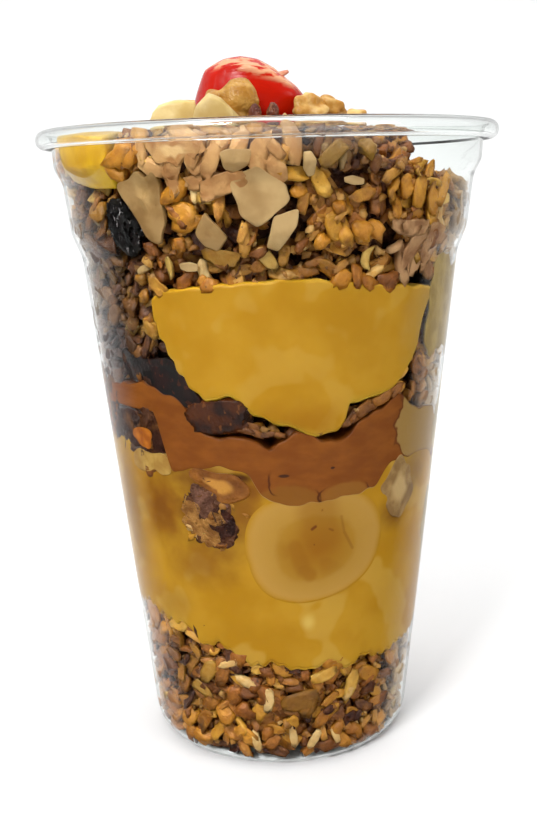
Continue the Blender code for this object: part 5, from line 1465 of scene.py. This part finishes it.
# Chips at the wall: look, thickness in mm, place on the wall and corners in mm
CHIPS = {
    "oat_flake": ("oat_flake", 1.2, (-18.6, 65.0), (
        (-6, 3.2), (-3, 2.8), (0.9, 2.6), (3.8, 2.2), (6, 0.4), (5.8, -1.6), (4, -2.8), (1.9, -3.7),
        (-0.7, -3.4), (-0.4, -1.9), (-2.4, -1.1), (-4.6, 0.3), (-6, 1.4))),
    "pale_chip_left": ("pale_chip", 1.4, (-46.0, 68.0), (
        (-6, -1.6), (-3, -2.4), (0, -2.2), (1.4, -1.2), (3.4, -2.2), (5.8, -1.4), (6, 1.4), (4.4, 2.6),
        (1.4, 1.8), (-1.6, 2.6), (-5, 1.2))),
    "coconut_flake_right": ("grey_flake", 1.3, (44.4, 60.8), (
        (-4.6, 1.2), (-2.6, 2.4), (-1.6, 5.2), (0.6, 7.2), (2.6, 5.4), (4.6, 4.2), (5.2, 1.4), (6.6, -1.2),
        (5.2, -3.4), (4.4, -6.2), (1.6, -6.8), (-1.2, -5.2), (-3.2, -2))),
    "nut_shard_left": ("nut_shards_deep", 1.6, (-34.0, 119.6), (
        (-5.2, 4.3), (-4.1, 2.6), (-2.2, -0.4), (-0.4, -3.1), (0.8, -5.4), (3.0, -6.8), (4.6, -6.6),
        (4.8, -3.6), (4.9, 0), (5.0, 3.4), (4.6, 6.6), (3.4, 6.4), (2.0, 5.2), (0.9, 6.2), (-0.6, 5.6),
        (-2.8, 5.0))),
    "nut_shard_middle": ("nut_shards", 1.6, (-1.8, 121.0), (
        (-5.4, 3), (-3.8, -2.8), (-0.6, -5.4), (5, -0.4), (4.6, 2.2), (-1, 5.4))),
    "nut_stick": ("nut_shards", 1.8, (3.4, 115.4), (
        (-1.6, 2.3), (-3, -3.2), (-0.8, -4.2), (2.4, 0.2), (2.8, 3.4))),
    "nut_shard_small": ("nut_shards_deep", 1.4, (-14.8, 114.8), (
        (-3, 0), (-0.8, 3.8), (0.8, 2), (3.2, -0.8), (1.2, -3.2), (-1.2, -2.4))),
    "coconut_flake_peach": ("coconut", 1.2, (-21.8, 129.6), (
        (-5.6, 1.4), (-2.4, 2.4), (-0.6, 1.5), (2.4, 2.2), (5.4, 0.8), (4.4, -1.2), (2.2, -1), (0.6, -3),
        (-1, -1.8), (-3.6, -2.2))),
    "coconut_flake_rim": ("coconut", 1.2, (-11.2, 131.4, 1.8), (
        (-4, 1.2), (-1.6, 2.2), (0.8, 1.4), (4, 2), (4.2, -0.6), (2, -2), (0.2, -1), (-2.8, -1.8))),
    "almond_chip_a": ("nut_shards", 1.2, (-7.0, 127.4, 0.0, 14.0), (
        (-2.8, 1.6), (-1, 2.4), (2.6, 2), (2.2, -0.4), (-1, -2), (-2.6, -1))),
    "almond_chip_b": ("nut_shards", 1.2, (9.6, 126.8, 0.4, 14.0, -10.0), (
        (-0.8, 2.2), (-1.2, -0.6), (-0.4, -2.2), (0.7, -2.0), (1.3, 0.4), (0.6, 2.1))),
    "almond_chip_c": ("nut_shards", 1.2, (21.0, 123.6, 0.0, 0.0, 10.0), (
        (-2.1, 0.3), (-0.6, 0.9), (1.8, 0.6), (2.1, -0.4), (0.2, -0.8), (-1.8, -0.6))),
    "almond_chip_d": ("nut_shards", 1.2, (-22.2, 108.6, 0.0, 14.0), (
        (-2.0, 0.5), (0.4, 0.9), (1.9, 0.5), (1.8, -0.7), (-0.4, -0.9), (-1.9, -0.5))),
    "nut_shard_back": ("nut_shards", 1.6, (150.0, 117.6), (
        (-5.2, 2.6), (-3, -3.8), (1, -5.4), (4.6, -1), (4.2, 3.6), (-1, 5.2))),
    "nut_shard_side": ("nut_shards", 1.6, (-104.0, 121.0, 0.0, 0.0, 20.0), (
        (-4.2, 3.2), (-3.4, -3.4), (0.6, -4.8), (3.8, -0.6), (2.8, 4.2))),
}
# Corners of a dark glossy sheet that paints the shade between the granola and the custard, left of the date
SHADE_SHEET_CORNERS = (
    (-8.7, -0.6), (-9.4, 5), (-6, 5.5), (-2, 3.6), (1.3, 4.2), (3.4, 4.9), (5.4, 2.9), (7.8, -0.1),
    (10, -3.5), (9, -5.8), (5.4, -4.6), (0, -2.8),
)
# Corners of a sheet in the granola's shadow colour that fills the hollow: painted shade
HOLLOW_SHADE_CORNERS = (
    (-6.4, -1.6), (-7.6, 1.4), (-6.6, 3.6), (-4, 3.2), (-1.4, 3.9), (2.2, 2.8), (5.2, 3.6), (5.6, 1.2),
    (7.2, -1.4), (6.2, -3.6), (7.4, -6.2), (5.2, -6.8), (3.2, -4.6), (-1, -3.8), (-3.4, -4.6),
)
# Pale sheets that paint the haze of the plastic at the cup's right edge: width and height in mm, and place
GLARE_SHEETS = (((24.0, 26.0), (67.0, 97.0)), ((16.0, 24.0), (79.0, 70.0)), ((14.0, 26.0), (80.0, 47.0)))

# Rounded pieces at the wall: name, look, size in mm, place, unevenness, squareness, wrinkles and push
LUMPS = (
    ("mango_crumb", "mango_crumb", (6.0, 2.6, 4.6), (-47.0, 73.2), 0.1, 0.0, 0.0, 1.9),
    ("date_piece", "date", (15.4, 6.0, 8.4), (-17.6, 79.2, 0.0, 0.0, -6.0), 0.05, 0.3, 0.06, 1.2),
    ("raisin_left", "raisins", (8.6, 5.4, 11.0), (-42.8, 115.6, 0.3, 0.0, -18.0), 0.08, 0.0, 0.24),
    ("raisin_back", "raisins", (8.0, 5.0, 9.6), (-148.0, 114.0, 0.3, 0.0, 15.0), 0.06, 0.0, 0.14),
    ("mango_chunk", "mango", (21.0, 11.0, 11.4), (-53.2, 129.0, 0.0, 8.0, 4.0), 0.02, 0.6, 0.0, 1.0,
     PIECE_PRESSED, 0.6),
)
CLUSTER_LUMPS = (
    ("cluster_mauve", (6.4, 3.6, 7.4), (-24.4, 61.6)), ("cluster_golden", (5.0, 3.2, 4.6), (-27.4, 55.8)),
    ("cluster_golden", (5.4, 3.2, 4.4), (-23.2, 53.4)), ("cluster_golden", (3.6, 2.6, 4.0), (-29.6, 59.2)),
    ("cluster_dark", (4.4, 3.2, 7.2), (-18.0, 57.0)), ("cluster_mauve", (4.0, 3.0, 4.2), (-17.4, 62.6)),
    ("cluster_golden", (3.8, 2.8, 3.6), (-20.6, 57.6)),
)


def build_wall_pieces(settings):
    """Every separate piece that shows through the wall."""
    looks = flesh_looks(WALL_LOOKS)
    # Painted shade: a dark glossy sheet in the gap left of the date
    chip("dark_film", SHADE_SHEET_CORNERS, 1.2, (-38.0, 86.0), looks["glossy_shade"], 91, 0.35, False, 0.08 * MM)
    # Pale sheets at the cup's right edge: painted glare of the plastic
    for number, (size, place) in enumerate(GLARE_SHEETS):
        name, corners = f"custard_smear_{number + 1}", ragged(*size, RAGGED_SEED + number, 14)
        chip(name, corners, 0.7, place, looks["painted_glare_sheet"], GLARE_SHEET_SEED + number, 0.1, False)
    # Painted shade: a sheet in the granola's shadow colour fills the hollow at the wall
    shade = core_finish(settings), "granola"
    chip("hollow_dark", HOLLOW_SHADE_CORNERS, 3.0, (-49.0, 74.9), shade, 90, 0.1, False, 0.05 * MM)
    for number, (name, (look, thickness, place, corners)) in enumerate(CHIPS.items()):
        chip(name, corners, thickness, place, looks[look], CHIP_SEED + number)
    lump("granola_cluster", looks["cluster"], (14.0, 8.0, 16.0), (-23.0, 58.6), LUMP_SEED, 0.12, 0.0, 0.1,
         3.2, LUMP_PRESSED)
    for number, (look, size, place) in enumerate(CLUSTER_LUMPS):
        lump(f"cluster_lump_{number + 1}", looks[look], size, place, CLUSTER_LUMP_SEED + number, 0.14, 0.0,
             0.06, 1.6, CARAMEL_PRESSED, node="granola_cluster")
    for number, (name, look, size, place, *form) in enumerate(LUMPS, 1):
        lump(name, looks[look], size, place, LUMP_SEED + number, *form)
    sliced = banana_finish(settings)
    banana("banana_slice", (13.6, 50.8, 0.0, 0.0, -6.0), 31.0, 23.5, 1.0, sliced)
    banana("banana_slice_back", (168.0, 45.0, 0.0, 0.0, -12.0), 30.0, 24.0, 2.0, sliced)


# Toppings

TOP_LOOKS = {
    "nut_toppings": ("nut", (224, 188, 118), (182, 128, 54), 3, 0.3, 0.4),
    "cashew": ("nut", (200, 154, 80), (164, 112, 40), 3, 0.3, 0.5),
    "ivory_fruit": ("banana", (214, 190, 130), (192, 162, 98), 5, 0.4, 0.15),
    "pale_fruit": ("banana", (236, 212, 148), (218, 186, 114), 5, 0.35, 0.2),
    "almond_flake": ("nut", (226, 204, 160), (200, 166, 112), 4, 0.5, 0.15),
    "top_raisins": ("date", (140, 88, 62), (96, 52, 40), 2, 0.25, 0.3),
    "mango_top": ("mango", (238, 190, 40), (216, 158, 20), 6, 0.25, 0.15),
    "berry_skin": ("berry_red", (222, 178, 146), (200, 124, 96), 2, 0.3, 0.2),
}

# Tops of some pieces: the share of the full height, from the left end, -1, to the right, 1
PROFILES = {
    "strawberry_half": ((-1, 0.7), (-0.8, 0.92), (-0.45, 1), (-0.15, 1), (0.15, 0.93), (0.45, 0.78),
                        (0.75, 0.52), (1, 0.34)),
    "banana_wedge": ((-1, 0.5), (-0.3, 1), (0.25, 0.8), (1, 0.1)),
    "pale_fruit_chunk": ((-1, 0.2), (-0.6, 0.75), (0, 0.9), (1, 1)),
    "cashew_piece": ((-1, 0.6), (-0.6, 0.84), (-0.2, 0.76), (0.15, 1), (0.7, 0.98), (1, 0.7)),
}

# Pieces on the mound: name, look, unevenness, squareness, wrinkles, and how far each reaches past
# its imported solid's box at its left, right and top, in mm
TOPPINGS = (
    ("banana_wedge", "ivory_fruit", 0.03, 0.3),
    ("pale_fruit_chunk", "pale_fruit", 0.04, 0.5),
    ("cashew_piece", "cashew", 0.12, 0.3, 0.0, (1.6, 0.0, 1.7)),
    ("nut_right_a", "nut_toppings", 0.16, 0.2, 0.0, (0.3, 0.8, 0.5)),
    ("nut_right_b", "nut_toppings", 0.16, 0.2, 0.0, (1.3, 0.0, 0.4)),
    ("raisin_top_a", "top_raisins", 0.05, 0.0, 0.12),
    ("raisin_top_b", "top_raisins", 0.05, 0.0, 0.12),
    ("nut_crumb_low", "nut_toppings", 0.12, 0.2),
    ("almond_flake_back", "almond_flake", 0.03),
    ("mango_piece_back", "mango_top", 0.03, 0.6),
)


def topping(name, look, seed, unevenness, squareness=0.0, wrinkles=0.0, grow=(0.0, 0.0, 0.0)):
    """Piece on the mound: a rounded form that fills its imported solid's box, or reaches a little past
    it, with the top of its profile."""
    low, high = (np.array(corner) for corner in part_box(name))
    left, right, top = np.array(grow) * MM
    low = low - (left, 0.0, 0.0)
    high = high + (right, 0.0, top)
    vertices = lump_points((high - low) / MM, seed, unevenness, squareness, wrinkles)
    if name in PROFILES:
        places, heights = np.array(PROFILES[name], float).T
        share = np.interp(vertices[:, 0] / (high - low)[0] * 2.0, places, heights)
        vertices[:, 2] *= np.where(vertices[:, 2] > 0.0, 2.0 * share, 1.0)
    extent = vertices.max(axis=0) - vertices.min(axis=0)
    vertices = (vertices - vertices.min(axis=0)) / extent * (high - low) + low
    grid = vertices[:-2].reshape(LUMP_ROWS, LUMP_COLUMNS, 3)
    # Pale value along each piece's top, strongest at its front: where the berry's finish paints its wet
    # highlights
    rows = np.linspace(0.0, 1.0, LUMP_ROWS)[:, None]
    side = (grid[..., 0] - low[0]) / (high - low)[0]
    front = 1.0 - smoothstep((grid[..., 1] - (low[1] + high[1]) / 2) / (3.0 * MM))
    ridge = smoothstep((rows + 0.14 * side - 0.76) / 0.06) * (0.2 + 0.8 * front)
    show(name, LUMP_ROWS, vertices, look, values={"pale": ridge})


def berry_skin(look):
    """Curled strip of skin that stands off the berry's far slope."""
    rows, columns = 14, 24
    vertices = lump_points((5.4, 1.6, 1.1), 110, 0.12, rows=rows, columns=columns)
    vertices[:, 2] += 0.7 * MM * (vertices[:, 0] / (2.7 * MM)) ** 2 + 0.1 * vertices[:, 0]
    vertices += np.array((2.6, -5.0, 145.4)) * MM
    place_piece("berry_skin", skin("berry_skin", rows, vertices), *look)


def build_toppings():
    """Fruit and nuts on the mound."""
    looks = flesh_looks(TOP_LOOKS)
    topping("strawberry_half", (berry_finish(), "berry_red"), TOPPING_SEED, 0.03, 0.25)
    berry_skin(looks["berry_skin"])
    for number, (name, look, *form) in enumerate(TOPPINGS, 1):
        topping(name, looks[look], TOPPING_SEED + number, *form)


# Settings

class ParfaitSettings(PropertyGroup):
    """Sizes and colours that a user would change."""

    cup_tint: FloatVectorProperty(name="Cup tint", description="Colour of the clear plastic", subtype="COLOR",
                                  default=(0.97, 0.98, 0.975), min=0.0, max=1.0)
    cup_ior: FloatProperty(name="Cup refraction", description="How strongly the plastic bends light",
                           default=1.42, min=1.0, max=2.0)
    custard_light: FloatVectorProperty(name="Custard, light", description="Lighter tone of the custard",
                                       subtype="COLOR", default=linear(184, 140, 40), min=0.0, max=1.0)
    custard_deep: FloatVectorProperty(name="Custard, deep", description="Deeper tone of the custard",
                                      subtype="COLOR", default=linear(172, 126, 26), min=0.0, max=1.0)
    custard_pale: FloatVectorProperty(name="Custard, pale", description="Pale patches of the custard",
                                      subtype="COLOR", default=linear(194, 158, 72), min=0.0, max=1.0)
    caramel_light: FloatVectorProperty(name="Caramel, light", description="Lighter tone of the caramel",
                                       subtype="COLOR", default=linear(136, 79, 27), min=0.0, max=1.0)
    caramel_deep: FloatVectorProperty(name="Caramel, deep", description="Deeper tone of the caramel",
                                      subtype="COLOR", default=linear(122, 67, 21), min=0.0, max=1.0)
    shadow: FloatVectorProperty(name="Granola shadow", description="Colour in the hollows of the granola",
                                subtype="COLOR", default=linear(50, 25, 18), min=0.0, max=1.0)
    camera_distance: FloatProperty(name="Camera distance", description="Camera to the cup's axis",
                                   default=0.24046, min=0.1, unit="LENGTH")
    camera_height: FloatProperty(name="Camera height", description="Camera above the floor",
                                 default=0.124572, min=0.0, unit="LENGTH")
    camera_pitch: FloatProperty(name="Camera pitch", description="How far the camera looks down",
                                default=math.radians(12.154), subtype="ANGLE")
    camera_roll: FloatProperty(name="Camera roll", description="Turn of the picture",
                               default=math.radians(-1.52), subtype="ANGLE")
    camera_yaw: FloatProperty(name="Camera yaw", description="Turn of the camera to the side",
                              default=math.radians(-0.29), subtype="ANGLE")
    focal_length: FloatProperty(name="Focal length", description="Lens of the camera in millimetres",
                                default=47.48, min=10.0)


# Operators

class PARFAIT_OT_cup(Operator):
    """Build the clear cup"""

    bl_idname = "parfait.cup"
    bl_label = "Cup"

    def execute(self, context):
        place_piece("cup_shown", cup_mesh(), clear_finish(context.scene.parfait), "cup_clear", ["cup"])
        return {"FINISHED"}


class PARFAIT_OT_layers(Operator):
    """Build the two custards and the caramel"""

    bl_idname = "parfait.layers"
    bl_label = "Custard and caramel"

    def execute(self, context):
        settings = context.scene.parfait
        build_lower_custard(settings)
        build_upper_custard(settings)
        build_caramel(settings)
        return {"FINISHED"}


class PARFAIT_OT_granola(Operator):
    """Build the three granola layers from loose pieces"""

    bl_idname = "parfait.granola"
    bl_label = "Granola"

    def execute(self, context):
        settings = context.scene.parfait
        finishes = granola_finishes()
        core_look = core_finish(settings)
        layers = {"cup", "custard_lower", "custard_upper", "caramel_layer", "granola_base", "granola_middle",
                  "granola_top"}
        obstacles = sorted(set(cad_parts) - layers)
        build_granola_base(finishes, core_look)
        build_granola_middle(finishes, core_look)
        build_granola_top(finishes, core_look, obstacles)
        return {"FINISHED"}


class PARFAIT_OT_wall_pieces(Operator):
    """Build the fruit, flakes and nuts that show through the wall"""

    bl_idname = "parfait.wall_pieces"
    bl_label = "Pieces at the wall"

    def execute(self, context):
        build_wall_pieces(context.scene.parfait)
        build_shreds()
        build_cluster(granola_finishes())
        return {"FINISHED"}


class PARFAIT_OT_toppings(Operator):
    """Build the fruit and nuts on the mound"""

    bl_idname = "parfait.toppings"
    bl_label = "Toppings"

    def execute(self, context):
        build_toppings()
        return {"FINISHED"}


class PARFAIT_OT_stage(Operator):
    """Build the floor, the lights and the camera"""

    bl_idname = "parfait.stage"
    bl_label = "Stage"

    def execute(self, context):
        settings = context.scene.parfait
        build_floor()
        build_lights(context.scene)
        build_camera(context.scene, settings)
        return {"FINISHED"}


# Stage

def build_floor():
    """Pale floor that curves up far behind the cup: a quarter circle, then a straight rise."""
    arc = np.radians(np.linspace(0.0, 90.0, 17))
    y = np.concatenate([[-3.0, 0.0], 0.7 + 0.8 * np.sin(arc), [1.5]])
    z = np.concatenate([[0.0, 0.0], 0.8 * (1.0 - np.cos(arc)), [3.0]])
    x = np.array([[-3.0], [3.0]])
    vertices = np.stack(np.broadcast_arrays(x, y, z - 0.05 * MM), axis=-1).reshape(-1, 3)
    i = np.arange(len(y) - 1)
    quads = np.stack([i, i + len(y), i + len(y) + 1, i + 1], axis=-1)
    mesh = make_mesh("floor", vertices, quads, np.zeros((0, 3), int), {})
    mesh.materials.append(Finish("floor").surface((0.9, 0.9, 0.9), 0.9))
    floor = bpy.data.objects.new("floor", mesh)
    bpy.context.scene.collection.objects.link(floor)


def add_area(scene, name, place, size, power, aim=(0.0, 0.0, CUP_HEIGHT / 2)):
    """Soft square light that faces the middle of the cup, or another place."""
    light = bpy.data.lights.new(name, "AREA")
    light.size = size
    light.energy = power
    obj = bpy.data.objects.new(name, light)
    scene.collection.objects.link(obj)
    obj.location = place
    obj.rotation_euler = (Vector(aim) - Vector(place)).to_track_quat("-Z", "Y").to_euler()


def build_lights(scene):
    """White surroundings and soft lights above and beside the camera."""
    scene.view_settings.view_transform = "Standard"
    scene.world = surroundings()
    add_area(scene, "key", (-0.35, -0.65, 0.75), 0.25, 7.0)
    add_area(scene, "fill", (0.65, -0.5, 0.4), 0.35, 1.6)
    add_area(scene, "backdrop", (0.0, 0.35, 1.3), 0.8, 9.0, (0.0, 1.3, 0.35))


def surroundings():
    """White studio with a darker side in front of the cup, which keeps its wall clear of glare."""
    made = Finish("surroundings", "worlds")
    way = made.link("ShaderNodeTexCoord", name="Generated")
    level_of_light = made.span(made.along(way, "Y"), -0.75, -0.2) * 0.7 + 0.25
    sockets = {"Color": rgba((1.0, 1.0, 1.0)), "Strength": level_of_light}
    lit = made.node("ShaderNodeBackground", {}, sockets)
    made.node("ShaderNodeOutputWorld", {}, {"Surface": made.out(lit)})
    return made.owner


def build_camera(scene, settings):
    """Camera where the photograph was taken, fitted to the cup."""
    data = bpy.data.cameras.new("camera")
    data.lens = settings.focal_length
    data.sensor_width = 36.0
    camera = bpy.data.objects.new("camera", data)
    scene.collection.objects.link(camera)
    place = Matrix.Translation((0.0, -settings.camera_distance, settings.camera_height))
    turn = Matrix.Rotation(-settings.camera_yaw, 4, "Z")
    tip = Matrix.Rotation(math.pi / 2 - settings.camera_pitch, 4, "X")
    camera.matrix_world = place @ turn @ tip @ Matrix.Rotation(settings.camera_roll, 4, "Z")
    scene.camera = camera


# Panel and registration

OPERATORS = (PARFAIT_OT_cup, PARFAIT_OT_layers, PARFAIT_OT_granola, PARFAIT_OT_wall_pieces,
             PARFAIT_OT_toppings, PARFAIT_OT_stage)


class PARFAIT_PT_panel(Panel):
    """The parfait's settings and operators"""

    bl_label = "Parfait"
    bl_idname = "PARFAIT_PT_panel"
    bl_space_type = "VIEW_3D"
    bl_region_type = "UI"
    bl_category = "Parfait"

    def draw(self, context):
        for name in ParfaitSettings.__annotations__:
            self.layout.prop(context.scene.parfait, name)
        for operator in OPERATORS:
            self.layout.operator(operator.bl_idname)


CLASSES = (ParfaitSettings, *OPERATORS, PARFAIT_PT_panel)


def register():
    for item in CLASSES:
        bpy.utils.register_class(item)
    bpy.types.Scene.parfait = PointerProperty(type=ParfaitSettings)


def unregister():
    del bpy.types.Scene.parfait
    for item in reversed(CLASSES):
        bpy.utils.unregister_class(item)


def main():
    register()
    bpy.ops.parfait.cup()
    bpy.ops.parfait.layers()
    bpy.ops.parfait.granola()
    bpy.ops.parfait.wall_pieces()
    bpy.ops.parfait.toppings()
    bpy.ops.parfait.stage()


if __name__ == "__main__":
    main()
